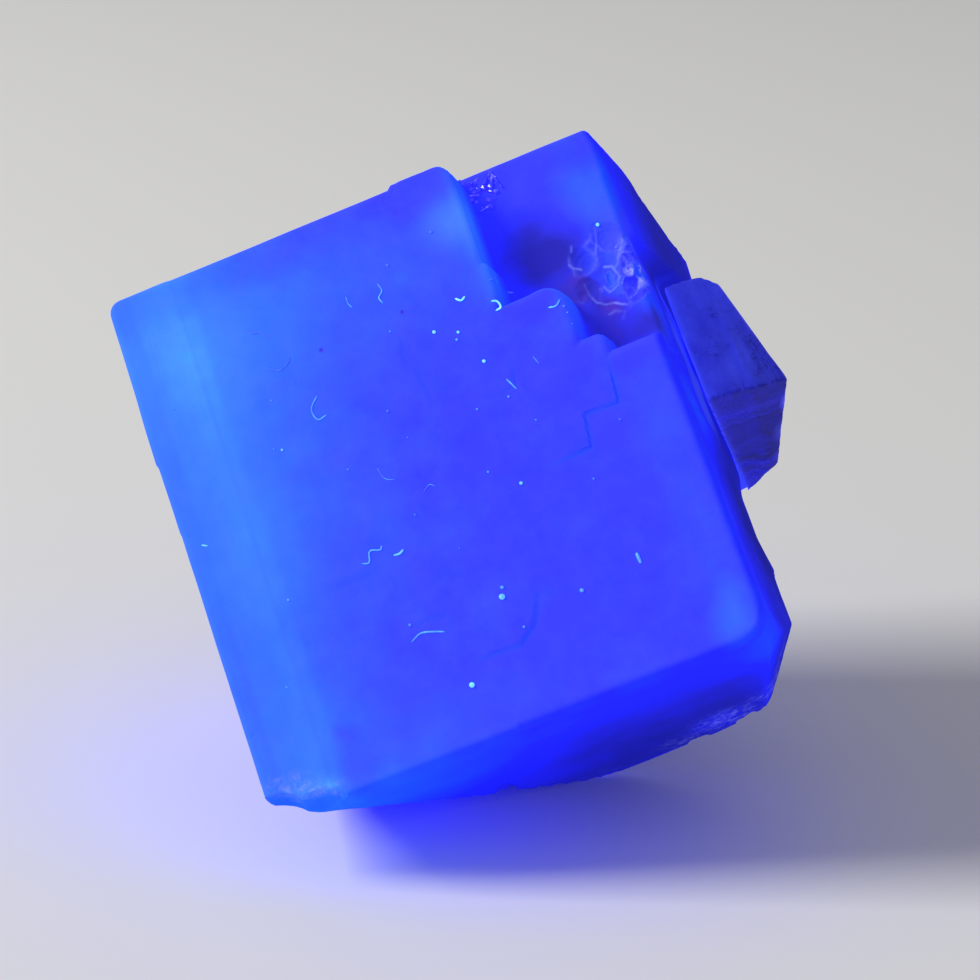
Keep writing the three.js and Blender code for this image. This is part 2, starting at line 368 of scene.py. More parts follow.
@dataclass(frozen=True)
class Fracture:
    """A conchoidal break in a face: shallow shells that meet along sharp curved ridges.

    Each shell is a bowl [x, z, half width, half height, depth, facet shade]; the face sinks as far
    as the deepest bowl there, and its facet shade is how much lighter that facet is painted, a
    negative one
    darker: painted light and shade. Cracks run below the surface as lines of a given strength.
    """

    shells: tuple[tuple[float, float, float, float, float, float], ...]
    cracks: tuple[tuple[float, tuple[Spot, ...]], ...] = ()
    warp_x: Relief = Relief(0.16, 0.75, 3, 91)
    warp_z: Relief = Relief(0.16, 0.75, 3, 95)
    ripple: float = 0.006
    ripple_step: float = 0.22
    shimmer: Relief = Relief(1.0, 0.9, 2, 99)
    shiver_x: Relief = Relief(0.06, 0.4, 2, 101)
    shiver_z: Relief = Relief(0.06, 0.4, 2, 103)
    ridge_strength: float = 0.22
    ridge_width: float = 0.02
    crack_width: float = 0.04

    def depths(self, x: np.ndarray, z: np.ndarray) -> np.ndarray:
        """Depth of the untouched face, then of each bowl, as columns; negative outside a bowl.

        The places are shifted by noise first, which makes every bowl's outline uneven.

        Args:
            x: lattice x of each point.
            z: lattice z of each point.

        Returns:
            One row for each point.
        """
        x, z = x + self.warp_x.at(x, 0.0, z), z + self.warp_z.at(x, 0.0, z)
        bowls = [
            depth * (1.0 - ((x - cx) / across) ** 2 - ((z - cz) / up) ** 2)
            for cx, cz, across, up, depth, _ in self.shells
        ]
        return np.stack([0.0 * x, *bowls], axis=1)

    def sink(self, x: np.ndarray, z: np.ndarray) -> np.ndarray:
        """How far the face sinks, with faint ripples round the middle of each bowl.

        Args:
            x: lattice x of each point.
            z: lattice z of each point.

        Returns:
            A depth for each point.
        """
        depths = self.depths(x, z)
        deepest = depths.argmax(axis=1)
        middles = np.array([(0.0, 0.0), *(shell[:2] for shell in self.shells)])[deepest]
        reach = np.hypot(x - middles[:, 0], z - middles[:, 1])
        wave = self.ripple * np.sin(reach * 2.0 * math.pi / self.ripple_step)
        return depths.max(axis=1) + np.where(deepest > 0, wave, 0.0)

    def marks(self, x: np.ndarray, z: np.ndarray) -> tuple[np.ndarray, np.ndarray, np.ndarray]:
        """What the material needs to know about the break.

        A ridge falls off with the difference between the deepest bowl and the next, and comes and
        goes along its length; a crack falls off with the distance from its line.

        Args:
            x: lattice x of each point.
            z: lattice z of each point.

        Returns:
            1 on broken points, the strength of the nearest ridge from 0 to 1, and the facet's
            painted light and shade.
        """
        depths = self.depths(x, z)
        ranked = np.sort(depths, axis=1)
        faint = smooth_step(self.shimmer.at(x, 0.0, z), 0.0, 0.5)
        x, z = x + self.shiver_x.at(x, 0.0, z), z + self.shiver_z.at(x, 0.0, z)
        apart = ranked[:, -1] - ranked[:, -2]
        ridge = self.ridge_strength * faint * np.exp(-apart / self.ridge_width)
        for strength, path in self.cracks:
            away = distance_to_line(x, z, np.array(path))
            shown = strength * (0.55 + 0.45 * faint)
            ridge = np.maximum(ridge, shown * np.exp(-((away / self.crack_width) ** 2)))
        facet_shades = np.array([0.0, *(shell[5] for shell in self.shells)])
        deepest = depths.argmax(axis=1)
        return (deepest > 0).astype(float), ridge, facet_shades[deepest]


@dataclass(frozen=True)
class GrowthStep:
    """The edge of one growth layer on the front face, raised on the upper left of its line."""

    line: tuple[Spot, ...]
    behind: tuple[Spot, ...]
    rise: float = 0.07
    end_fade: float = 1.6
    bevel: float = 0.07
    seam_width: float = 0.1

    def height(self, x: np.ndarray, z: np.ndarray) -> np.ndarray:
        """Full height just behind the line, falling to nothing at the rest of the outline.

        The height is the rise times the share of the way to the outline's other sides, where that
        is nearer than end_fade, so the layer thins out and its two ends sink into the face.

        Args:
            x: lattice x of each point.
            z: lattice z of each point.

        Returns:
            How high the layer stands at each point.
        """
        line, behind = np.array(self.line), np.array(self.behind)
        rest = np.concatenate([line[-1:], behind, line[:1]])
        shape = smooth_step(distance_to_line(x, z, line), 0.0, self.bevel)
        shape = shape * smooth_step(distance_to_line(x, z, rest), 0.0, self.end_fade)
        return np.where(is_inside(x, z, np.concatenate([line, behind])), self.rise * shape, 0.0)

    def seam(self, x: np.ndarray, z: np.ndarray) -> np.ndarray:
        """How strongly the layer's edge is painted as a thin line of shade, from 0 to 1: most on
        its line, less at its ends.

        Args:
            x: lattice x of each point.
            z: lattice z of each point.

        Returns:
            A strength for each point.
        """
        line = np.array(self.line)
        away = distance_to_line(x, z, line)
        to_ends = [np.hypot(x - end[0], z - end[1]) for end in (line[0], line[-1])]
        shown = 0.3 + 0.7 * smooth_step(np.minimum(*to_ends), 0.0, 1.2)
        strength = min(self.rise / 0.16, 0.6)
        return strength * shown * np.exp(-((away / self.seam_width) ** 2))


@dataclass(frozen=True)
class GrowthPlates:
    """Rectangular growth plates scattered over a face, edge to edge with the lattice.

    Each plate raises what lies inside it, with an edge as wide as bevel; plates overlap freely.
    """

    width: Spot
    height: Spot
    rise: float
    count: int
    seed: int
    bevel: float = 0.14

    def raised(self, a: np.ndarray, b: np.ndarray) -> np.ndarray:
        """The sum of all plates' heights over the face's two coordinates.

        Args:
            a: each point's coordinate along the face's width.
            b: the coordinate along its height.

        Returns:
            A height for each point.
        """
        rng = np.random.default_rng(self.seed)
        total = np.zeros(a.shape)
        low, high = np.array([self.width, self.height]).T
        for _ in range(self.count):
            centre = rng.uniform(low, high)
            half = rng.uniform(0.08, 0.34, 2) * (high - low)
            edge = np.minimum(half[0] - np.abs(a - centre[0]), half[1] - np.abs(b - centre[1]))
            total += rng.uniform(0.4, 1.0) * self.rise * smooth_step(edge, 0.0, self.bevel)
        return total


@dataclass
class FluoriteCrystal:
    """The cube with its stepped corner, the lower crystal behind it and the broken underside.

    The surface of a box is carried onto the crystal: a point's share of the box's width, depth and
    height becomes the same share of the way between left and right, front and back, and bottom and
    top of the crystal, each of which is a height over the other two coordinates.
    """

    name: str = "fluorite"

    # In mm: the staircase's rim and wall, the box's corners, and the right side's widening.
    rim_drop: float = 0.6
    rim_crisp: float = 0.22
    rim_soft: float = 0.42
    wall_width: float = 0.12
    lower_corner: float = 1.5
    lower_corner_behind: float = 0.5
    upper_corner: float = 0.55
    side_foot: float = -4.2
    side_widening: float = 1.35
    crest_drop: float = 2.9
    strip_rise: float = 0.22
    hip_rise: float = 0.22

    # How often the places of the sides, which depend on each other, are worked out.
    passes: int = 6

    # Fine relief: how the staircase wavers, how the grown faces swell and how the breaks crumble.
    waver: Relief = Relief(0.05, 1.1, 2, 11)
    swell_front: Relief = Relief(0.012, 3.2, 3, 21)
    swell_top: Relief = Relief(0.01, 2.6, 3, 43)
    swell_left: Relief = Relief(0.012, 2.8, 3, 61)
    swell_right: Relief = Relief(0.014, 2.6, 3, 73)
    crumble_back: Relief = Relief(1.0, 2.2, 4, 31)
    crumble_bottom: Relief = Relief(1.0, 2.4, 4, 51)
    crumble_right: Relief = Relief(1.0, 1.8, 4, 71)

    # The height band where the staircase's rim turns soft, the band beside it that the broken tip
    # leaves whole, and how deep the breaks crumble at the back, below and on the right.
    rim_band: Spot = (-7.0, -5.5)
    whole: Spot = (0.15, 0.4)
    break_back: float = 0.14
    break_bottom: float = 0.16
    break_right: float = 0.05

    # The grid: cells from left to right, front to back and bottom to top; then where each size of
    # cell is wanted, in mm from that end; and how many front cells wide a cell of the back is.
    columns: int = 210
    layers: int = 32
    levels: int = 276
    column_sizes: tuple[Spot, ...] = (
        (0.0, 0.07), (0.6, 0.07), (1.4, 0.16), (8.6, 0.16), (9.4, 0.09), (13.2, 0.09), (13.8, 0.07),
        (17.0, 0.07), (17.6, 0.045), (FACE_WIDTH, 0.045),
    )
    layer_sizes: tuple[Spot, ...] = (
        (0.0, 0.06), (0.5, 0.12), (2.4, 0.25), (6.0, 0.6), (13.2, 0.6), (BLOCK_DEPTH, 0.12),
    )
    level_sizes: tuple[Spot, ...] = (
        (0.0, 0.07), (1.6, 0.07), (2.2, 0.13), (3.2, 0.08), (5.2, 0.08), (6.2, 0.15), (8.4, 0.15),
        (9.2, 0.075), (14.2, 0.075), (15.0, 0.045), (18.2, 0.045), (19.0, 0.08), (21.6, 0.08),
        (FACE_HEIGHT, 0.05),
    )
    coarse: int = 3

    # Where the left and the right side stand at each height [z, x].
    left_profile: tuple[Spot, ...] = (
        (-22.2, 0.06), (-10.2, 0.03), (-10.0, 0.0), (-7.2, -0.04), (-7.0, -0.1), (0.0, -0.03),
    )
    right_profile: tuple[Spot, ...] = (
        (-13.4, FACE_WIDTH), (-7.2, 20.15), (-4.0, 20.2), (-0.6, 20.25), (0.15, 20.1),
    )

    # Upper right corners of the growth blocks that make the staircase [x, z, corner radius].
    blocks: tuple[Point, ...] = (
        (14.72, 0.22, 0.9),
        (14.88, -4.3, 0.35),
        (17.32, -6.27, 0.95),
        (18.22, -8.72, 0.45),
        (40.0, -9.62, 0.5),
    )
    growth_steps: tuple[GrowthStep, ...] = (
        GrowthStep(
            line=((18.01, -9.7), (17.79, -11.75), (16.42, -11.7), (16.24, -13.02), (14.29, -13.1)),
            behind=((13.0, -12.0), (14.0, -9.4), (15.6, -8.2), (17.4, -8.6)),
            rise=0.09,
            end_fade=1.5,
        ),
        GrowthStep(
            line=((13.08, -17.61), (12.43, -17.63), (11.96, -18.63), (11.2, -19.19),
                  (9.23, -19.12)),
            behind=((8.4, -17.6), (10.4, -16.4), (12.8, -16.4)),
            rise=0.08,
            end_fade=1.2,
        ),
        GrowthStep(
            line=((4.3, -14.5), (5.8, -14.35), (7.35, -14.36)),
            behind=((7.4, -12.8), (4.6, -12.8)),
            rise=0.06,
            end_fade=0.9,
        ),
        GrowthStep(
            line=((7.3, -17.1), (8.0, -16.95), (8.97, -17.03), (9.1, -17.6)),
            behind=((9.6, -15.8), (7.5, -15.5)),
            rise=0.05,
            end_fade=0.7,
        ),
        GrowthStep(
            line=((10.68, -5.5), (10.66, -6.3), (10.52, -7.1), (10.89, -7.5), (11.0, -8.6),
                  (10.98, -9.6)),
            behind=((9.8, -9.4), (9.4, -7.4), (9.7, -5.6)),
            rise=0.035,
            end_fade=0.8,
        ),
        GrowthStep(
            line=((14.45, -8.34), (14.32, -9.58), (13.1, -9.7)),
            behind=((12.0, -9.0), (13.0, -7.6)),
            rise=0.05,
            end_fade=1.0,
        ),
    )
    underside: tuple[Plane, ...] = (
        Plane((6.44, 8.2, -FACE_HEIGHT), (-0.843, 0.537, -1.75)),
        Plane((9.1, 11.6, -FACE_HEIGHT), (-0.776, 0.631, -1.75)),
    )
    rear: tuple[Plane, ...] = (
        Plane((12.66, BLOCK_DEPTH, -FACE_HEIGHT), (0.1, 0.97, -0.25)),
        Plane((FACE_WIDTH, 12.6, -15.0), (0.5, 0.86, -0.1)),
        Plane((2.8, BLOCK_DEPTH, 0.0), (-1.0, 1.0, 1.0)),
    )
    rear_corner: Plane = Plane((FACE_WIDTH + 0.2, 11.4, -19.5), (0.811, 0.122, -0.573))

    # Smaller cubes on the back [left, right, bottom, top, depth that they reach].
    back_cubes: tuple[tuple[float, float, float, float, float], ...] = (
        (4.2, 11.6, -12.4, -3.9, 15.6),
        (1.9, 8.7, -21.0, -14.1, 15.5),
    )
    plates_top: GrowthPlates = GrowthPlates((0.0, FACE_WIDTH), (2.0, BLOCK_DEPTH), -0.07, 9, 3)
    plates_left: GrowthPlates = GrowthPlates((1.0, BLOCK_DEPTH), (-FACE_HEIGHT, 0.0), 0.07, 9, 5)
    plates_right: GrowthPlates = GrowthPlates(
        (0.5, BLOCK_DEPTH), (-FACE_HEIGHT, -5.0), -0.06, 10, 7
    )
    plates_back: GrowthPlates = GrowthPlates(
        (0.0, FACE_WIDTH), (-FACE_HEIGHT, 0.0), -0.16, 14, 9
    )
    chips: tuple[Chip, ...] = (
        Chip((0.1, -0.3, -22.3), (1.75, 1.5, 1.25), (0.3, 0.6, 1.0), 0.02, 0.34),
        Chip((1.9, -0.5, -22.2), (1.35, 1.3, 0.75), (0.1, 1.0, 0.6), 0.02, 0.3),
        Chip((7.45, 9.0, -22.6), (0.6, 1.3, 0.85), (0.0, -0.6, 1.0)),
        Chip((15.0, 14.3, -22.4), (1.1, 1.2, 0.8), (0.0, -0.6, 1.0)),
        Chip((17.5, 13.3, -22.5), (1.0, 1.3, 0.8), (-0.2, -0.6, 1.0)),
    )
    fracture: Fracture = Fracture(
        shells=(
            (18.95, -5.75, 1.12, 1.5, 0.3, 0.02),
            (18.2, -6.35, 0.62, 0.75, 0.28, -0.15),
            (18.93, -6.05, 0.36, 0.56, 0.4, 0.08),
            (18.4, -5.25, 0.8, 0.8, 0.22, 0.05),
            (19.35, -4.7, 0.72, 1.05, 0.22, -0.02),
            (19.75, -5.75, 0.55, 0.8, 0.36, -0.05),
            (19.75, -6.75, 0.66, 0.6, 0.42, -0.12),
            (20.2, -6.2, 0.45, 0.75, 0.46, 0.03),
            (20.3, -4.9, 0.36, 0.6, 0.24, 0.0),
            (18.85, -7.1, 0.8, 0.4, 0.12, -0.08),
        ),
        cracks=(
            (0.35, ((19.12, -3.98), (18.98, -4.4), (18.8, -4.85), (18.62, -5.35))),
            (0.6, ((18.87, -5.54), (19.13, -5.65), (19.27, -6.1), (19.14, -6.46), (18.75, -6.6),
                   (18.6, -6.31))),
            (0.65, ((17.92, -5.93), (17.92, -6.33), (18.13, -6.87), (18.46, -7.07), (18.81, -7.15),
                    (19.18, -7.4))),
            (0.35, ((20.01, -4.83), (19.6, -5.2), (19.45, -5.5), (19.23, -5.74))),
            (0.25, ((19.6, -5.2), (19.75, -5.55), (19.62, -5.95))),
            (0.6, ((17.91, -4.28), (17.83, -4.51))),
            (0.45, ((17.63, -4.96), (17.72, -5.15), (17.95, -5.3))),
            (0.35, ((18.4, -7.55), (18.75, -7.45), (19.06, -7.6), (18.9, -7.9))),
            (0.35, ((20.1, -6.4), (19.8, -6.9), (19.4, -7.2))),
        ),
    )

    def stair(self, x: np.ndarray, z: np.ndarray) -> np.ndarray:
        """Signed distance to the staircase, negative on the front face.

        Each growth block is all that lies below and left of a rounded corner; the distance to
        their union is the smallest of their distances.

        Args:
            x: lattice x of each point.
            z: lattice z of each point.

        Returns:
            A distance for each point.
        """
        shift = self.waver.at(x, 0.0, z)
        best = np.full(x.shape, np.inf)
        for right, top, radius in self.blocks:
            over_x = x + shift - (right - radius)
            over_z = z + shift - (top - radius)
            outside = np.hypot(np.maximum(over_x, 0.0), np.maximum(over_z, 0.0))
            inside = np.minimum(np.maximum(over_x, over_z), 0.0)
            best = np.minimum(best, outside + inside - radius)
        return best

    def front(self, x: np.ndarray, z: np.ndarray) -> np.ndarray:
        """Depth of the front: the large face, its rim, the drop to the set-back face, and layers.

        Args:
            x: lattice x of each point.
            z: lattice z of each point.

        Returns:
            Lattice y of the front at each point.
        """
        away = self.stair(x, z)
        roll = np.interp(z, self.rim_band, [self.rim_soft, self.rim_crisp])
        inside = np.clip(away + roll, 0.0, roll)
        lip = roll - np.sqrt(roll**2 - inside**2)
        drop = (SET_BACK - roll) * np.clip(away / self.wall_width, 0.0, 1.0)
        layers = sum(step.height(x, z) for step in self.growth_steps)
        swell = self.swell_front.at(x, 0.0, z)
        broken = self.fracture.sink(x, z) * smooth_step(away, *self.whole)
        return lip + drop - layers * smooth_step(-away, 0.1, 0.6) + swell + broken

    def back(self, x: np.ndarray, z: np.ndarray) -> np.ndarray:
        """Depth of the back: a flat back with smaller cubes, cut by break planes.

        Args:
            x: lattice x of each point.
            z: lattice z of each point.

        Returns:
            Lattice y of the back at each point.
        """
        depth = np.full(x.shape, BLOCK_DEPTH)
        for left, right, low, high, reach in self.back_cubes:
            edge = np.minimum(np.minimum(x - left, right - x), np.minimum(z - low, high - z))
            cube = BLOCK_DEPTH + (reach - BLOCK_DEPTH) * smooth_step(edge, 0.0, 0.15)
            depth = np.maximum(depth, cube)
        for plane in self.rear:
            depth = np.minimum(depth, plane.solve(Axis.Y, x, 0.0 * x, z))
        broken = smooth_step(BLOCK_DEPTH - depth, 0.02, 0.4)
        flat = (1.0 - broken) * self.plates_back.raised(x, z)
        return depth + flat - self.break_back * broken * (1.0 + self.crumble_back.at(x, 0.0, z))

    def top(self, x: np.ndarray, y: np.ndarray) -> np.ndarray:
        """Height of the top: flat, with a slightly higher block right of the middle.

        Args:
            x: lattice x of each point.
            y: lattice y of each point.

        Returns:
            Lattice z of the top at each point.
        """
        higher = 0.17 * smooth_step(x, 12.1, 12.3)
        swell = self.swell_top.at(x, y, 3.0)
        return 0.03 + np.where(x < 14.7, higher, 0.12) + swell + self.plates_top.raised(x, y)

    def bottom(self, x: np.ndarray, y: np.ndarray) -> np.ndarray:
        """Height of the bottom: cleaved flat in front, broken behind, and cut by the table.

        Args:
            x: lattice x of each point.
            y: lattice y of each point.

        Returns:
            Lattice z of the bottom at each point.
        """
        height = np.full(x.shape, -FACE_HEIGHT)
        for plane in self.underside:
            height = np.maximum(height, plane.solve(Axis.Z, x, y, 0.0 * x))
        broken = smooth_step(height + FACE_HEIGHT, 0.0, 0.5)
        height = height + self.break_bottom * broken * (1.0 + self.crumble_bottom.at(x, y, 0.0))
        normal, distance = table_height_plane()
        table = (distance - normal[0] * x - normal[1] * y) / normal[2]
        return np.maximum(height, table)

    def left(self, y: np.ndarray, z: np.ndarray) -> np.ndarray:
        """The left-hand side, which steps in a little on its way down.

        Args:
            y: lattice y of each point.
            z: lattice z of each point.

        Returns:
            Lattice x of the left side at each point.
        """
        steps = np.interp(z, *np.array(self.left_profile).T)
        swell = self.swell_left.at(0.0, y, z)
        return steps + self.plates_left.raised(y, z) + swell

    def right(self, y: np.ndarray, z: np.ndarray) -> np.ndarray:
        """The right-hand side: flat below, and widening towards the back above.

        Above the quartz it widens evenly with depth up to a crest, which drops towards the back;
        beyond the crest the side leans in at 45 degrees. Beside the quartz and at the lower back it
        swells a little.

        Args:
            y: lattice y of each point.
            z: lattice z of each point.

        Returns:
            Lattice x of the right side at each point.
        """
        edge = np.interp(z, *np.array(self.right_profile).T)
        depth = np.clip((y - SET_BACK) / (BLOCK_DEPTH - SET_BACK), 0.0, 1.0)
        foot = smooth_step(z, self.side_foot - 0.1, self.side_foot + 0.2)
        edge = edge + foot * self.side_widening * depth
        strip = smooth_step(y, 2.4, 3.8) * smooth_step(-z, -self.side_foot, 7.2)
        strip = strip * smooth_step(z, -13.6, -12.4)
        hip = smooth_step(y, 4.0, 9.5) * smooth_step(-z, 15.2, 17.4)
        edge = edge + self.strip_rise * strip + self.hip_rise * hip
        crest = -0.15 - self.crest_drop * depth**1.6
        edge = edge - np.maximum(z - crest, 0.0) * smooth_step(depth, 0.0, 0.1)
        edge = np.minimum(edge, self.rear_corner.solve(Axis.X, 0.0 * y, y, z))
        broken = smooth_step(FACE_WIDTH - edge, 0.05, 0.6) * smooth_step(-z, 12.0, 14.0)
        edge = edge - self.break_right * broken * (1.0 + self.crumble_right.at(0.0, y, z))
        swell = self.swell_right.at(0.0, y, z)
        return edge + self.plates_right.raised(y, z) + swell

    def carry(self, share: np.ndarray) -> np.ndarray:
        """Carries box points, given as shares of its width, depth and height, onto the crystal.

        The sides depend on each other, so the place is worked out again a few times.

        Args:
            share: three shares from 0 to 1 for each point.

        Returns:
            The points in the lattice.
        """
        x = share[:, 0] * FACE_WIDTH
        y = share[:, 1] * BLOCK_DEPTH
        z = (share[:, 2] - 1.0) * FACE_HEIGHT
        for _ in range(self.passes):
            near, far = self.front(x, z), self.back(x, z)
            y = near + (far - near) * share[:, 1]
            low, high = self.bottom(x, y), self.top(x, y)
            z = low + (high - low) * share[:, 2]
            side, other = self.left(y, z), self.right(y, z)
            x = side + (other - side) * share[:, 0]
        return rows(x, y, z)

    def soften(self, box: np.ndarray) -> np.ndarray:
        """Rounds the box's edges, and its lower right and upper left corners more.

        A point near an edge moves to the rim's radius round a core that is that much smaller. The
        squares at those two corners are then squeezed into quarter discs.

        Args:
            box: points on the box, in mm from its lower left front corner.

        Returns:
            The softened points, as shares of the box's size.
        """
        size = np.array([FACE_WIDTH, BLOCK_DEPTH, FACE_HEIGHT])
        low = np.clip((box[:, 2] / FACE_HEIGHT - 0.45) / 0.2, 0.0, 1.0)
        radius = (self.rim_soft + (self.rim_crisp - self.rim_soft) * low)[:, None]
        radius = np.where(box[:, :1] < 0.5 * FACE_WIDTH, self.rim_crisp, radius)
        core = np.clip(box, radius, size - radius)
        arm = box - core
        length = np.linalg.norm(arm, axis=1, keepdims=True)
        soft = core + arm * (radius / np.maximum(length, TINY))
        behind = smooth_step(box[:, 1], 0.5, 6.0)
        lower = self.lower_corner + (self.lower_corner_behind - self.lower_corner) * behind
        right, bottom = self.quarter_disc(FACE_WIDTH - soft[:, 0], soft[:, 2], lower)
        left, top = self.quarter_disc(soft[:, 0], FACE_HEIGHT - soft[:, 2], self.upper_corner)
        on_right = soft[:, 0] > 0.5 * FACE_WIDTH
        soft[:, 0] = np.where(on_right, FACE_WIDTH - right, left)
        soft[:, 2] = np.where(on_right, bottom, FACE_HEIGHT - top)
        return soft / size

    def quarter_disc(
        self, a: np.ndarray, b: np.ndarray, radius: np.ndarray | float
    ) -> tuple[np.ndarray, np.ndarray]:
        """Squeezes the square next to a corner into a quarter disc.

        Args:
            a: distance of each point from one of the corner's sides.
            b: distance from the other side.
            radius: the disc's radius.

        Returns:
            Both distances, changed only where both were less than the radius.
        """
        c, d = np.clip(1.0 - a / radius, 0.0, 1.0), np.clip(1.0 - b / radius, 0.0, 1.0)
        both = (c > 0.0) & (d > 0.0)
        new_a = radius * (1.0 - c * np.sqrt(1.0 - d * d / 2.0))
        new_b = radius * (1.0 - d * np.sqrt(1.0 - c * c / 2.0))
        return np.where(both, new_a, a), np.where(both, new_b, b)

    def shell(self) -> tuple[np.ndarray, list[list[int]]]:
        """The box's surface, with larger cells on the back.

        Returns:
            Its grid points, and the faces as lists of point numbers.
        """
        xs = graded_lines(self.column_sizes, self.columns)
        ys = graded_lines(self.layer_sizes, self.layers)
        zs = graded_lines(self.level_sizes, self.levels)
        shape = len(xs), len(ys), len(zs)
        number = np.arange(math.prod(shape)).reshape(shape)
        squares = np.concatenate([
            squares_of(number[:, 0])[:, [0, 3, 2, 1]],
            squares_of(number[0]),
            squares_of(number[-1])[:, ::-1],
            squares_of(number[:, :, 0]),
            squares_of(number[:, :, -1])[:, ::-1],
        ])
        back = self.back_cells(number[:, -1])
        used = np.unique(np.concatenate([squares.ravel(), *back]))
        faces = [np.searchsorted(used, cell).tolist() for cell in back]
        i, j, k = np.unravel_index(used, shape)
        return rows(xs[i], ys[j], zs[k]), np.searchsorted(used, squares).tolist() + faces

    def back_cells(self, sheet: np.ndarray) -> list[np.ndarray]:
        """The back's cells, each coarse cells wide; those on its border keep the border's points.

        Args:
            sheet: the numbers of the back's points, by column and level.

        Returns:
            The point numbers of each cell, running the way that faces outward.
        """
        wide = self.coarse
        cells = list(np.roll(squares_of(sheet[::wide, ::wide]), -1, axis=1))
        across, up = self.columns // wide, self.levels // wide
        for i, k in np.ndindex(across, up):
            if 0 < i < across - 1 and 0 < k < up - 1:
                continue
            cell = sheet[i * wide : (i + 1) * wide + 1, k * wide : (k + 1) * wide + 1]
            lower = cell[:-1, 0] if k == 0 else cell[:1, 0]
            right = cell[-1, :-1] if i == across - 1 else cell[-1, :1]
            upper = cell[:0:-1, -1] if k == up - 1 else cell[-1:, -1]
            left = cell[0, :0:-1] if i == 0 else cell[0, -1:]
            cells[i * up + k] = np.concatenate([lower, right, upper, left])[::-1]
        return cells

    def build(self) -> bpy.types.Object:
        """The finished crystal, with what its material reads stored on it.

        Returns:
            The piece, without its material.
        """
        box, faces = self.shell()
        points = self.carry(self.soften(box))
        fresh = np.zeros(len(points))
        for chip in self.chips:
            points, struck = chip.carve(points)
            fresh = np.maximum(fresh, struck)
        normal, distance = table_height_plane()
        sunk = np.minimum(points @ normal - distance, 0.0)
        points = points - sunk[:, None] * normal
        piece = make_piece(self.name, points, faces, 32.0)
        stair = self.stair(points[:, 0], points[:, 2])
        broken, ridge, facet_shade = self.fracture.marks(points[:, 0], points[:, 2])
        there = smooth_step(stair, *self.whole) * (box[:, 1] < 1.0)
        # The growth steps' edges, which the material paints as thin lines of shade.
        seams = [step.seam(points[:, 0], points[:, 2]) for step in self.growth_steps]
        add_values(piece, Mark.SEAM_SHADE, np.max(seams, axis=0) * (box[:, 1] < 1.0))
        rim = self.stair(points[:, 0], points[:, 2] - self.rim_drop)
        add_values(piece, Mark.RIM, np.where(stair > -0.1, stair, np.clip(rim, -6.0, 6.0)))
        add_values(piece, Mark.FRESH, np.maximum(fresh, broken * there))
        add_values(piece, Mark.RIDGE, ridge * there)
        add_values(piece, Mark.FACET_SHADE, facet_shade * there)
        to_sides = [FACE_WIDTH - box[:, 0], BLOCK_DEPTH - box[:, 1], box[:, 2]]
        add_values(piece, Mark.SKIN, smooth_step(np.min(to_sides, axis=0), 0.0, 0.35))
        # How near each point is to an edge of the box: the material paints the glow lighter along
        # the edges further back, a painted highlight.
        size = np.array([FACE_WIDTH, BLOCK_DEPTH, FACE_HEIGHT])
        inset = np.sort(np.minimum(box, size - box), axis=1)[:, 1]
        add_values(piece, Mark.EDGE_HIGHLIGHT, np.exp(-inset / 0.35))
        return piece


# ---- quartz --------------------------------------------------------------------------------------
def unit(vector: np.ndarray) -> np.ndarray:
    """The vector at length one."""
    return vector / np.linalg.norm(vector)


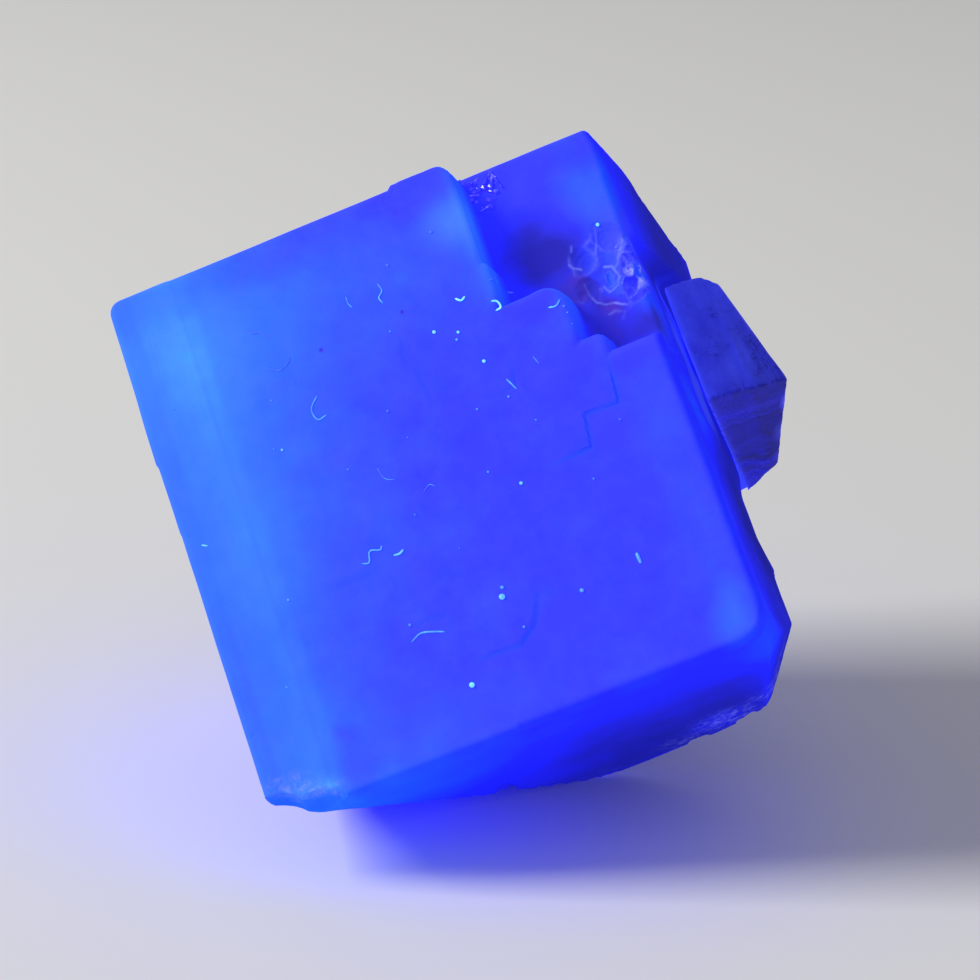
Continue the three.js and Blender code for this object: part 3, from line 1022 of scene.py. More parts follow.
@dataclass
class QuartzCrystal:
    """One quartz crystal: a striated six-sided prism closed by a six-faced pyramid.

    Its surface is worked out along rays from a point inside: the ray ends at the first face that it
    meets, with the edges slightly worn because the nearest faces are blended.
    """

    name: str = "quartz"
    ridge_end: Point = (23.71, 12.38, -9.42)
    ridge: Point = (0.645, 0.748, 0.154)
    tip: Point = (0.453, -0.537, 0.712)
    pyramid_lift_deg: float = 38.2
    half_ridge: float = 3.1
    half_thickness: float = 3.0
    prism_growth: tuple[float, ...] = (0.0, 0.0, -0.5, 0.4, 0.4, 1.9)
    pyramid_growth: tuple[float, ...] = (0.0, 0.0, 0.2, 0.3, 0.6, 1.2)
    breaks: tuple[Plane, ...] = (
        Plane((21.8, 9.35, -4.66), (-0.184, -0.207, 0.961)),
        Plane((21.8, 9.35, -4.66), (0.203, 0.263, 0.944)),
        Plane((21.8, 14.33, -12.23), (0.39, 0.3, -0.87)),
        Plane((20.5, 13.6, -13.0), (0.1, 0.62, -0.78)),
        Plane((14.6, 14.0, -8.0), (-1.0, 0.0, 0.0)),
    )
    middle: Point = (21.4, 14.6, -8.6)

    # The fluorite's side beside it, which stands further out above a foot, and the gap to it.
    wall: float = FACE_WIDTH + 0.2
    upper_wall: float = 21.35
    upper_foot: float = -4.2
    touch: float = 0.03
    far: float = 99.0
    cells: int = 104
    edge_wear: float = 70.0

    # Relief of the faces: growth steps across the prism, etch lines down the pyramid, and breaks.
    step_height: float = 0.035
    etch_height: float = 0.02
    etching: Relief = Relief(1.0, 1.0, 3, 8)
    crumble: Relief = Relief(1.0, 0.9, 4, 9)
    crumble_height: float = 0.11
    worn_down: float = 0.03

    def axes(self) -> tuple[np.ndarray, np.ndarray, np.ndarray]:
        """The ridge's direction, the crystal's long axis, and the way the front prism face looks.

        Returns:
            Three unit vectors, square to each other.
        """
        ridge = unit(np.array(self.ridge))
        tip = np.array(self.tip)
        tip = unit(tip - (tip @ ridge) * ridge)
        return ridge, tip, np.cross(ridge, tip)

    def faces(self) -> tuple[np.ndarray, np.ndarray]:
        """Outward normals of all faces and their distances from the middle point.

        Returns:
            Prism and pyramid faces in turn, six of each, and then the breaks.
        """
        ridge, tip, out = self.axes()
        centre = np.array(self.ridge_end) - ridge * self.half_ridge - out * self.half_thickness
        lift = math.radians(self.pyramid_lift_deg)
        normals, places = [], []
        for k in range(6):
            cos, sin = math.cos(math.radians(60.0 * k)), math.sin(math.radians(60.0 * k))
            reach = abs(cos) * self.half_thickness + abs(sin) * self.half_ridge
            prism = cos * out + sin * ridge
            pyramid = math.cos(lift) * prism + math.sin(lift) * tip
            normals += [prism, pyramid]
            places.append(centre + (reach + self.prism_growth[k]) * prism)
            places.append(centre + (reach * math.cos(lift) + self.pyramid_growth[k]) * pyramid)
        for plane in self.breaks:
            normals.append(unit(np.array(plane.outward)))
            places.append(np.array(plane.point))
        normals = np.array(normals)
        return normals, ((np.array(places) - self.middle) * normals).sum(axis=1)

    def rays(self) -> tuple[np.ndarray, np.ndarray]:
        """Directions over a cube's surface, evenly spread in angle, and the cube's square faces.

        Returns:
            Unit vectors, and squares that number them.
        """
        line = np.tan(np.linspace(-math.pi / 4.0, math.pi / 4.0, self.cells + 1))
        a, b = np.meshgrid(line, line, indexing="ij")
        one = np.ones_like(a)
        sheets = [(one, a, b), (-one, b, a), (b, one, a), (a, -one, b), (a, b, one), (b, a, -one)]
        points = np.concatenate([np.stack(s, axis=-1).reshape(-1, 3) for s in sheets])
        numbers = np.arange(len(points)).reshape(6, *a.shape)
        squares = np.concatenate([squares_of(sheet)[:, [0, 3, 2, 1]] for sheet in numbers])
        merged, index = np.unique(np.round(points, 9), axis=0, return_inverse=True)
        return merged / np.linalg.norm(merged, axis=1, keepdims=True), index.ravel()[squares]

    def stop_at_fluorite(self, rays: np.ndarray) -> np.ndarray:
        """How far each ray runs before it enters the fluorite, which fills two half-open boxes.

        Args:
            rays: unit vectors from the middle point.

        Returns:
            A length for each ray, or far where it never enters.
        """
        back, far = BLOCK_DEPTH + self.touch, self.far
        boxes = (
            ((-far, -far, -far), (self.wall + self.touch, back, far)),
            ((-far, -far, self.upper_foot - self.touch), (self.upper_wall + self.touch, back, far)),
        )
        nearest = np.full(len(rays), far)
        safe = np.where(np.abs(rays) < TINY, TINY, rays)
        for low, high in boxes:
            to_low = (np.array(low) - self.middle) / safe
            to_high = (np.array(high) - self.middle) / safe
            enter = np.minimum(to_low, to_high).max(axis=1)
            leave = np.maximum(to_low, to_high).min(axis=1)
            hit = (enter > 0.0) & (enter < leave)
            nearest = np.where(hit, np.minimum(nearest, enter), nearest)
        return nearest

    def build(self) -> bpy.types.Object:
        """The crystal, with striations across its prism and etch lines down its pyramid.

        Returns:
            The piece, without its material.
        """
        rays, squares = self.rays()
        normals, reaches = self.faces()
        share = np.maximum(rays @ normals.T, 0.0) / reaches
        stop = 1.0 / self.stop_at_fluorite(rays)
        share = np.concatenate([share, stop[:, None]], axis=1)
        length = (share**self.edge_wear).sum(axis=1) ** (-1.0 / self.edge_wear)
        points = np.array(self.middle) + rays * length[:, None]
        met = share.argmax(axis=1)
        ridge, tip, _ = self.axes()
        along = points @ tip
        across = points @ ridge
        on_prism = (met < 12) & (met % 2 == 0)
        on_pyramid = (met < 12) & (met % 2 == 1)
        steps = value_noise(rows(along * 3.1, 0.4 * across, met), 5)
        steps = steps + 0.6 * value_noise(rows(along * 7.5, 0.5 * across, met), 6)
        etch = self.etching.at(0.7 * along, 2.6 * across, met)
        relief = self.step_height * on_prism * steps + self.etch_height * on_pyramid * etch
        broken = (met >= 14) & (met < 17)
        relief = relief + self.crumble_height * broken * self.crumble.at(*points.T)
        points = points + rays * (relief - self.worn_down)[:, None]
        piece = make_piece(self.name, points, squares.tolist(), 28.0)
        below = (np.array(self.ridge_end) - points) @ tip
        add_values(piece, Mark.BELOW, below)
        add_values(piece, Mark.PRISM, smooth_step(below, -0.05, 0.1))
        # How near each point is to the fluorite's side, where the material paints a lighter line: a
        # painted glow along the joint.
        off_wall = np.maximum(points[:, 0] - self.wall - self.touch, 0.0)
        add_values(piece, Mark.JOINT_GLOW, np.exp(-off_wall / 0.08))
        first, second, third = (points[squares[:, corner]] for corner in range(3))
        crossed = np.cross(second - first, third - first)
        outward = (crossed * (first - self.middle)).sum(axis=1)
        if outward.mean() < 0.0:
            piece.data.flip_normals()
        return piece


# ---- druse and dust ------------------------------------------------------------------------------
@dataclass
class QuartzDruse:
    """A three-cornered crust of tiny quartz points on the set-back face, fanned out."""

    name: str = "druse"
    outline: tuple[Spot, ...] = (
        (14.5, -0.06), (15.5, -0.12), (16.02, -0.14), (16.2, -0.9), (15.75, -1.4), (15.2, -1.48),
        (14.8, -0.85),
    )
    middle: Spot = (15.4, -0.7)
    depth: float = SET_BACK + 0.04
    points: int = 120
    root: float = 0.12
    seed: int = 7

    # Blades that lie flat on the crust: from, to.
    blades: tuple[tuple[Spot, Spot], ...] = (
        ((15.96, -0.1), (16.22, -0.98)),
        ((15.92, -0.14), (15.42, -0.55)),
        ((15.5, -0.5), (15.1, -0.78)),
        ((15.2, -1.47), (15.72, -1.36)),
        ((14.95, -0.72), (15.4, -0.92)),
        ((15.95, -0.3), (15.75, -0.9)),
    )

    def build(self) -> bpy.types.Object:
        """All points as one mesh, inside the outline, with how near each corner is to a tip.

        Each is a six-sided prism with a six-faced tip: a ring of corners at its root, a ring at its
        shoulder and one corner at its tip, turned to lean outward more the further out it stands.

        Returns:
            The piece, without its material.
        """
        rng = np.random.default_rng(self.seed)
        outline = np.array(self.outline)
        tries = rng.uniform(outline.min(axis=0), outline.max(axis=0), (6 * self.points, 2))
        spots = tries[is_inside(tries[:, 0], tries[:, 1], outline)][: self.points]
        right, up = (spots - self.middle).T
        width = 0.035 + 0.12 * rng.uniform(0.0, 1.0, self.points) ** 3
        height = width * rng.uniform(0.9, 1.6, self.points)
        axis = rows(right * 1.2, -np.ones(self.points), up * 0.9 - 0.2)
        axis = axis + rng.normal(0.0, 0.25, (self.points, 3))
        starts, ends = np.array(self.blades).transpose(1, 0, 2)
        spots = np.concatenate([spots, starts])
        width = np.concatenate([width, np.full(len(starts), 0.035)])
        height = np.concatenate([height, np.linalg.norm(ends - starts, axis=1) - self.root])
        along = ends - starts
        axis = np.concatenate([axis, rows(along[:, 0], -0.06, along[:, 1])])
        count = len(spots)
        axis /= np.linalg.norm(axis, axis=1, keepdims=True)
        side = np.cross(axis, rng.normal(0.0, 1.0, (count, 3)))
        side /= np.linalg.norm(side, axis=1, keepdims=True)
        third = np.cross(axis, side)
        turn = (np.arange(6) * math.pi / 3.0)[None, :, None]
        ring = np.cos(turn) * side[:, None, :] + np.sin(turn) * third[:, None, :]
        depth = np.where(np.arange(count) < self.points, self.depth, self.depth - 0.09)
        foot = rows(spots[:, 0], depth, spots[:, 1]) - axis * self.root
        shoulder = foot + axis * (self.root + height - 0.9 * width)[:, None]
        low = foot[:, None, :] + ring * (1.05 * width)[:, None, None]
        high = shoulder[:, None, :] + ring * width[:, None, None]
        apex = (foot + axis * (self.root + height)[:, None])[:, None, :]
        corners = np.concatenate([low, high, apex], axis=1).reshape(-1, 3)
        k = np.arange(6)
        n = (k + 1) % 6
        shafts = np.stack([k, n, n + 6, k + 6], axis=1)
        tips = np.stack([k + 6, n + 6, np.full(6, 12)], axis=1)
        starts = 13 * np.arange(count)[:, None, None]
        faces = (starts + shafts).reshape(-1, 4).tolist()
        faces += (starts + tips).reshape(-1, 3).tolist() + (starts[:, :, 0] + k[::-1]).tolist()
        piece = make_piece(self.name, corners, faces, 20.0)
        tips = np.tile(np.repeat([0.0, 0.55, 1.0], [6, 6, 1]), (count, 1))
        tips[self.points :] = 0.9
        add_values(piece, Mark.TIP, tips.ravel())
        return piece


@dataclass(frozen=True)
class Fibre:
    """One fibre on the front face: the places that it runs through, in lattice x and z."""

    path: tuple[Spot, ...]
    width: float = 0.03
    shine: float = 0.6
    blunt: float = 6.0


@dataclass
class Lint:
    """Fibres and dust specks that lie on the crystal."""

    ground: FluoriteCrystal
    name: str = "lint"
    sides: int = 6
    steps: int = 14
    lift: float = -0.015
    fibres: tuple[Fibre, ...] = (
        Fibre(((10.55, -3.55), (10.62, -3.9), (10.42, -4.12), (10.5, -4.4)), 0.025, 0.55),
        Fibre(((6.9, -6.9), (6.5, -7.35), (6.6, -7.85), (7.0, -7.8)), 0.026, 0.51),
        Fibre(
            ((6.45, -13.95), (6.75, -14.02), (6.9, -13.6), (7.3, -13.7), (7.4, -13.55)), 0.03, 0.47
        ),
        Fibre(((7.72, -14.1), (7.95, -14.12), (8.15, -14.02)), 0.042, 0.59),
        Fibre(((7.3, -17.55), (7.75, -17.35), (8.3, -17.5), (8.65, -17.65)), 0.034, 0.42),
        Fibre(((13.22, -5.35), (13.42, -5.52), (13.62, -5.42)), 0.042, 0.85),
        Fibre(((14.5, -6.02), (14.72, -6.1), (14.76, -6.36), (14.55, -6.46)), 0.042, 0.77),
        Fibre(((16.5, -7.15), (16.8, -7.2), (17.05, -7.0)), 0.035, 0.47),
        Fibre(((9.2, -3.55), (9.2, -3.85), (9.3, -4.1)), 0.022, 0.3),
        Fibre(((5.3, -5.05), (5.75, -5.35), (6.2, -5.2), (6.3, -5.0)), 0.02, 0.21),
        Fibre(((4.98, -3.24), (5.2, -3.5), (5.55, -3.6), (5.8, -4.04)), 0.02, 0.17),
        Fibre(((14.05, -9.2), (14.3, -9.75)), 0.03, 0.38),
        Fibre(((16.45, -17.5), (16.48, -17.95)), 0.06, 0.51),
        Fibre(((0.72, -10.85), (0.95, -10.98)), 0.03, 0.68),
        Fibre(((14.7, -5.2), (14.95, -5.1), (15.2, -5.2)), 0.03, 0.26),
        Fibre(((8.2, -10.6), (8.35, -11.1), (8.7, -11.3)), 0.02, 0.26),
        Fibre(((9.6, -12.2), (9.9, -12.0), (10.1, -12.15)), 0.02, 0.26),
        Fibre(((15.3, -8.75), (15.45, -9.15)), 0.022, 0.26),
    )

    # Specks of dust [x, z, half width, shine].
    specks: tuple[tuple[float, float, float, float], ...] = (
        (12.02, -6.31, 0.07, 0.85), (12.9, -6.69, 0.06, 0.68), (12.75, -6.95, 0.05, 0.51),
        (13.47, -8.19, 0.07, 0.77), (4.89, -8.46, 0.05, 0.68), (4.6, -8.3, 0.03, 0.42),
        (13.24, -13.3, 0.07, 0.59), (11.14, -17.2, 0.12, 0.68), (11.25, -16.85, 0.07, 0.42),
        (8.96, -19.94, 0.11, 0.77), (7.46, -16.89, 0.06, 0.34), (14.05, -18.08, 0.08, 0.42),
        (11.55, -18.6, 0.05, 0.26), (3.3, -14.2, 0.05, 0.42), (12.6, -9.9, 0.05, 0.34),
        (9.3, -8.6, 0.05, 0.3), (13.9, -9.9, 0.05, 0.42), (10.4, -5.6, 0.04, 0.34),
        (2.2, -17.4, 0.04, 0.34), (17.6, -12.4, 0.05, 0.26), (11.15, -3.0, 0.05, 0.3),
        (13.2, -2.4, 0.06, 0.3), (19.23, -3.86, 0.075, 0.85), (9.0, -12.9, 0.04, 0.3),
        (7.1, -10.2, 0.035, 0.26), (12.2, -12.4, 0.04, 0.34), (15.9, -14.2, 0.05, 0.26),
        (1.3, -5.2, 0.03, 0.34), (17.08, -7.32, 0.05, 0.47), (17.12, -7.6, 0.035, 0.38),
        (17.14, -8.1, 0.04, 0.34), (6.2, -6.1, 0.03, 0.26), (5.1, -6.4, 0.035, 0.3),
        (9.7, -9.9, 0.03, 0.26), (14.6, -11.2, 0.035, 0.3), (10.2, -14.8, 0.03, 0.26),
    )

    def tube(self, fibre: Fibre) -> np.ndarray:
        """Ring after ring of points round a smooth line through the fibre's places.

        The line is a cubic through neighbouring places. Its rings shrink towards both ends, as the
        square root of one minus a power of the distance from the middle: a low power makes a bead.

        Args:
            fibre: the fibre to follow.

        Returns:
            The points, lying on the crystal's surface.
        """
        knots = np.array(fibre.path)
        ends = np.concatenate([[2 * knots[0] - knots[1]], knots, [2 * knots[-1] - knots[-2]]])
        t = np.linspace(0.0, len(knots) - 1.0, self.steps)
        seg = np.minimum(t.astype(int), len(knots) - 2)
        f = (t - seg)[:, None]
        a, b, c, d = ends[seg], ends[seg + 1], ends[seg + 2], ends[seg + 3]
        bend, twist = 2 * a - 5 * b + 4 * c - d, 3 * b - a - 3 * c + d
        line = 0.5 * (2 * b + (c - a) * f + bend * f**2 + twist * f**3)
        along = np.gradient(line, axis=0)
        along /= np.linalg.norm(along, axis=1, keepdims=True)
        share = np.abs(np.linspace(-1.0, 1.0, self.steps))
        taper = np.sqrt(np.maximum(1.0 - share**fibre.blunt, 0.02)) * fibre.width
        turn = (np.arange(self.sides) * 2.0 * math.pi / self.sides)[None, :, None]
        across = rows(-along[:, 1], 0.0, along[:, 0])[:, None, :] * np.cos(turn)
        out = np.array([0.0, -1.0, 0.0]) * np.sin(turn)
        surface = self.ground.front(line[:, 0], line[:, 1])
        spine = rows(line[:, 0], surface + self.lift, line[:, 1])[:, None, :]
        return (spine + (across + out) * taper[:, None, None]).reshape(-1, 3)

    def beads(self) -> list[Fibre]:
        """The specks, each as a fibre that is hardly longer than it is wide."""
        return [
            Fibre(((x - 0.7 * r, z - 0.6 * r), (x + 0.7 * r, z + 0.6 * r)), r, shine, 2.0)
            for x, z, r, shine in self.specks
        ]

    def build(self) -> bpy.types.Object:
        """All fibres and specks as one mesh of closed tubes, with the shine of each stored on it.

        Returns:
            The piece, without its material.
        """
        everything = [*self.fibres, *self.beads()]
        n = self.sides
        ring = np.arange(n)
        start = (np.arange(self.steps - 1) * n)[:, None]
        near, after = start + ring, start + (ring + 1) % n
        walls = np.stack([near, after, after + n, near + n], axis=-1)
        lids = [ring[::-1], (self.steps - 1) * n + ring]
        count = self.steps * n
        points = np.concatenate([self.tube(fibre) for fibre in everything])
        starts = count * np.arange(len(everything))
        faces = (walls.reshape(-1, 4)[None] + starts[:, None, None]).reshape(-1, 4).tolist()
        faces += [(lid + s).tolist() for s in starts for lid in lids]
        piece = make_piece(self.name, points, faces, 60.0)
        add_values(piece, Mark.SHINE, np.repeat([fibre.shine for fibre in everything], count))
        return piece


# ---- finishes ------------------------------------------------------------------------------------
def to_linear(code: str) -> Colour:
    """An sRGB hex colour as linear red, green, blue and full alpha.

    Args:
        code: the colour, such as "#0080ff".

    Returns:
        The four numbers.
    """
    parts = [int(code[i : i + 2], 16) / 255.0 for i in (1, 3, 5)]
    red, green, blue = (p / 12.92 if p <= 0.04045 else ((p + 0.055) / 1.055) ** 2.4 for p in parts)
    return red, green, blue, 1.0


def add_node(
    tree: bpy.types.NodeTree,
    kind: str,
    inputs: dict[int | str, Any],
    stops: Stops = (),
    **settings: str,
) -> bpy.types.Node:
    """Adds a shader node with its settings and links.

    Args:
        tree: the material's node tree.
        kind: the node's type.
        inputs: socket names or numbers, each with a value, with an output to link, or with a node
            whose first output is linked.
        stops: places and colours along the node's colour ramp, a plain number being a grey.
        settings: attributes of the node.

    Returns:
        The new node.
    """
    node = tree.nodes.new("ShaderNode" + kind)
    for key, value in settings.items():
        setattr(node, key, value)
    for key, value in inputs.items():
        if isinstance(value, bpy.types.Node):
            value = value.outputs[0]
        if isinstance(value, bpy.types.NodeSocket):
            tree.links.new(value, node.inputs[key])
        else:
            node.inputs[key].default_value = value
    for index, (place, colour) in enumerate(stops):
        ramp = node.color_ramp.elements
        stop = ramp[index] if index < 2 else ramp.new(place)
        stop.position = place
        stop.color = to_linear(colour) if isinstance(colour, str) else (colour, colour, colour, 1.0)
    return node


def new_material(name: str) -> tuple[bpy.types.Material, bpy.types.NodeTree, bpy.types.Node]:
    """An empty node material.

    Args:
        name: the material's name.

    Returns:
        The material, its node tree and its output node.
    """
    material = bpy.data.materials.new(name)
    material.use_nodes = True
    tree = material.node_tree
    tree.nodes.clear()
    return material, tree, add_node(tree, "OutputMaterial", {})


@dataclass(frozen=True)
class Patch:
    """A soft round patch inside the crystal: where it is, how far it reaches and what it adds."""

    centre: Point
    radius: float
    gain: float

    def at(self, points: np.ndarray) -> np.ndarray:
        """The gain at the centre, falling smoothly to nothing at the radius.

        Args:
            points: lattice points, one row each.

        Returns:
            What the patch adds at each point.
        """
        away = np.linalg.norm(points - np.array(self.centre), axis=1)
        return self.gain * (1.0 - smooth_step(away, 0.0, self.radius))

    def value(self, tree: bpy.types.NodeTree, place: bpy.types.NodeSocket) -> bpy.types.Node:
        """The same fall from the gain to nothing, for the shaded point.

        Args:
            tree: the material's node tree.
            place: the shaded point in the lattice.

        Returns:
            A node with what the patch adds.
        """
        away = add_node(tree, "VectorMath", {0: place, 1: self.centre}, operation="DISTANCE")
        fall = {0: away.outputs["Value"], 1: 0.0, 2: self.radius, 3: self.gain, 4: 0.0}
        return add_node(tree, "MapRange", fall, interpolation_type="SMOOTHSTEP")


@dataclass(frozen=True)
class Clouds:
    """Noise over the lattice: its cells per millimetre, and how it breaks up and twists."""

    scale: float
    detail: float
    roughness: float = 0.5
    twist: float = 0.0

    def inputs(self, place: bpy.types.NodeSocket) -> dict[str, Any]:
        """The settings of a noise node at a place."""
        sizes = {"Scale": self.scale, "Detail": self.detail, "Roughness": self.roughness}
        return {"Vector": place, "Distortion": self.twist, **sizes}


@dataclass(frozen=True)
class Ground:
    """What a finish paints on: its tree, the shaded point, and the marks stored on the mesh."""

    tree: bpy.types.NodeTree
    place: bpy.types.NodeSocket
    marks: dict[Mark, bpy.types.NodeSocket]


@dataclass(frozen=True)
class Finish:
    """What all finishes share: one surface, and for clear stones a body that absorbs light."""

    name: str = ""
    reads: tuple[Mark, ...] = ()
    absorption: Colour = (1.0, 1.0, 1.0, 1.0)
    absorption_per_m: float = 0.0

    def surface(self, ground: Ground) -> dict[str, Any]:
        """The inputs of the surface shader; each finish gives its own."""
        raise NotImplementedError

    def build(self) -> bpy.types.Material:
        """The material, with its pattern on Object coordinates turned to the lattice.

        Returns:
            The finished material.
        """
        material, tree, out = new_material(self.name)
        turned = {
            "Vector": add_node(tree, "TexCoord", {}).outputs["Object"],
            "Location": tuple(v * MM for v in LATTICE_ZERO_MM),
            "Rotation": tuple(LATTICE_TURN.to_matrix().to_euler("XYZ")),
            "Scale": (MM, MM, MM),
        }
        place = add_node(tree, "Mapping", turned, vector_type="TEXTURE").outputs[0]
        marks = {
            mark: add_node(tree, "Attribute", {}, attribute_name=mark.value).outputs["Fac"]
            for mark in self.reads
        }
        shader = add_node(tree, "BsdfPrincipled", self.surface(Ground(tree, place, marks)))
        tree.links.new(shader.outputs[0], out.inputs["Surface"])
        if self.absorption_per_m > 0.0:
            depth = {"Color": self.absorption, "Density": self.absorption_per_m}
            body = add_node(tree, "VolumeAbsorption", depth)
            tree.links.new(body.outputs[0], out.inputs["Volume"])
        return material


@dataclass(frozen=True)
class FluoriteFinish(Finish):
    """Fluorite, grown in cubic layers and cleaved below.

    Milky outer growth zones glow sky blue along the left and top sides, deepen to a saturated
    blue inside and dim towards the back, partly as painted shade; the set-back corner has less
    milk and is painted darker, as painted shade. Growth faces have a satin skin, and chips are as
    glossy as broken glass.
    """

    name: str = "fluorite_zoned_satin"
    reads: tuple[Mark, ...] = (
        Mark.SEAM_SHADE, Mark.RIM, Mark.FRESH, Mark.RIDGE, Mark.FACET_SHADE, Mark.SKIN, Mark.EDGE_HIGHLIGHT,
        Mark.LIGHT_AND_SHADE_PATCHES, Mark.FROST, Mark.MILK_LIGHT_AND_SHADE,
    )
    absorption: Colour = (0.0, 0.2, 0.96, 1.0)
    absorption_per_m: float = 1500.0
    ior: float = 1.434
    sheen: float = 0.0
    milky_transmission: float = 0.05
    glow: float = 0.6
    satin: float = 0.42
    glossy: float = 0.12
    full: float = 0.64
    fade_depth: float = 16.0

    # Brightness along the lattice: from left to right, with a painted highlight band by the right
    # rim;
    # from the top down; and from front to back, dimming partly with the clearer inside and partly
    # as painted shade on the faces turned from the light.
    rightward: Stops = (
        (0.0, 0.41), (0.04, 0.42), (0.08, 0.47), (0.14, 0.465), (0.2, 0.41), (0.3, 0.34),
        (0.44, 0.28), (0.6, 0.25), (0.86, 0.245), (0.95, 0.285), (1.0, 0.26),
    )
    downward: Stops = (
        (0.0, 0.0), (0.035, 0.005), (0.085, 0.062), (0.15, 0.068), (0.22, 0.05), (0.32, 0.014),
        (0.42, 0.0),
    )
    backward_fade_and_shade: Stops = ((0.0, 1.0), (0.1, 0.88), (0.32, 0.63), (0.5, 0.51), (0.75, 0.44), (1.0, 0.4))
    streaks: Stops = ((0.098, 0.0), (0.118, 0.032), (0.134, 0.0), (0.152, 0.008), (0.168, 0.0))
    colours: Stops = (
        (0.0, "#08083c"), (0.11, "#0a0c78"), (0.195, "#1214af"), (0.25, "#1618d7"),
        (0.31, "#121afa"), (0.385, "#141cff"), (0.45, "#1230ff"), (0.55, "#0e46ff"),
        (0.625, "#0e56ff"), (0.77, "#1c6aff"), (0.94, "#328cff"), (1.0, "#4298ff"),
    )
    milk: str = "#b4bcff"
    milk_share: float = 0.09
    deep_milk_share: float = 0.015
    inner_milk_share: float = 0.014
    # Patches added to the glow's brightness. A few are tone; most are painted light and shade:
    # painted highlights along the lower right edge and at the upper right of the face, painted
    # light on the strip beside the quartz where the quartz shades it, painted shade on the right
    # side, and the set-back face painted darker.
    patches: tuple[Patch, ...] = (
        Patch((1.9, 0.0, -2.9), 2.2, 0.005),
        Patch((3.0, 0.0, -0.9), 1.2, -0.03),
        Patch((5.0, 0.0, -18.0), 6.5, -0.06),
        Patch((19.35, 0.0, -18.8), 1.1, 0.02),
        Patch((19.2, 0.0, -20.2), 1.1, 0.06),
        Patch((18.9, 0.0, -21.3), 1.3, 0.1),
        Patch((14.0, 0.0, -2.3), 1.7, 0.1),
        Patch((3.95, 0.0, -20.03), 0.75, -0.05),
        Patch((3.6, 0.0, -19.75), 0.5, -0.03),
        Patch((2.4, 0.0, -21.5), 0.8, 0.06),
        Patch((1.5, 0.0, -21.4), 0.7, 0.05),
        Patch((6.5, 5.0, -FACE_HEIGHT), 6.0, 0.13),
        Patch((11.0, 2.2, -FACE_HEIGHT), 2.6, 0.04),
        Patch((3.6, 0.0, -21.3), 1.8, -0.08),
        Patch((2.0, 0.0, -16.0), 5.0, -0.03),
        Patch((5.2, 0.0, -13.5), 2.6, -0.03),
        Patch((14.5, 1.0, -FACE_HEIGHT), 2.6, 0.03),
        Patch((19.8, 3.0, -21.6), 3.2, 0.1),
        Patch((19.0, 0.0, -9.8), 1.7, -0.04),
        Patch((20.5, 3.0, -8.0), 2.6, 0.1),
        Patch((20.2, 9.8, -5.7), 1.7, 0.2),
        Patch((20.3, 8.4, -7.6), 2.2, 0.16),
        Patch((20.35, 7.0, -10.4), 2.4, 0.12),
        Patch((15.8, 0.3, -6.5), 1.6, -0.07),
        Patch((19.6, 0.3, -9.5), 1.5, -0.05),
        Patch((2.75, 0.0, -21.6), 0.5, 0.09),
        Patch((20.6, 9.0, -20.0), 2.5, 0.05),
        Patch((20.3, 3.6, -12.0), 3.0, 0.14),
        Patch((20.3, 9.5, -16.0), 3.6, -0.09),
        Patch((21.0, 9.0, -3.0), 6.0, -0.12),
        Patch((16.3, 11.3, -21.2), 2.4, 0.2),
        Patch((9.5, 9.5, -FACE_HEIGHT), 3.5, 0.05),
        Patch((16.6, SET_BACK, -3.6), 2.9, -0.13),
        Patch((18.4, SET_BACK, -8.2), 1.7, -0.1),
        Patch((19.4, SET_BACK, -2.4), 1.9, 0.05),
        Patch((17.2, SET_BACK, -1.2), 1.6, -0.03),
        Patch((11.5, 0.0, -3.75), 0.45, 0.035),
    )
    # Two small pits, not modelled, painted darker: painted shade where the pits lie.
    specks: tuple[Patch, ...] = (
        Patch((7.6, 0.0, -5.23), 0.13, -0.3),
        Patch((11.09, 0.0, -5.04), 0.11, -0.3),
    )
    # Windows, where the milk thins: the set-back corner painted navy and violet, painted shade that
    # stands for a view through clear crystal; and on the right side beside the quartz, a brighter
    # blue, painted light where the quartz shades it.
    painted_dark_and_light_windows: tuple[tuple[Patch, str], ...] = (
        (Patch((16.8, 2.6, -4.3), 2.7, 1.35), "#1c189e"),
        (Patch((17.4, 2.6, -6.3), 1.6, 1.3), "#2822aa"),
        (Patch((18.2, 2.5, -7.9), 1.9, 1.35), "#221eb0"),
        (Patch((19.4, 2.5, -8.6), 1.5, 1.3), "#2420ae"),
        (Patch((17.55, 2.5, -5.9), 0.7, 0.5), "#4c26a4"),
        (Patch((17.75, 2.5, -6.6), 0.5, 0.4), "#5028a4"),
        (Patch((18.6, 2.5, -7.6), 0.8, 0.5), "#52289e"),
        (Patch((20.2, 9.8, -5.7), 1.8, 1.3), "#2c3ff0"),
        (Patch((20.3, 8.2, -7.9), 2.3, 1.3), "#2c3ff0"),
        (Patch((20.35, 6.9, -10.6), 2.4, 1.3), "#2c3cee"),
    )
    frost: tuple[Patch, ...] = (
        Patch((20.1, 2.6, -6.2), 1.0, 1.3),
        Patch((19.8, 2.5, -5.2), 0.8, 0.6),
        Patch((16.6, 11.2, -21.2), 2.6, 0.65),
        Patch((14.4, 12.2, -21.3), 1.8, 0.5),
        Patch((19.0, 9.5, -20.6), 1.6, 0.4),
        Patch((11.0, 13.0, -19.5), 3.5, 0.35),
        Patch((0.7, 0.1, -20.9), 0.8, 0.3),
        Patch((1.4, 0.1, -21.2), 0.9, 0.6),
        Patch((2.1, 0.1, -21.5), 0.6, 0.6),
        Patch((2.8, 0.1, -21.7), 0.6, 0.8),
        Patch((18.2, 10.2, -21.2), 1.8, 0.8),
    )
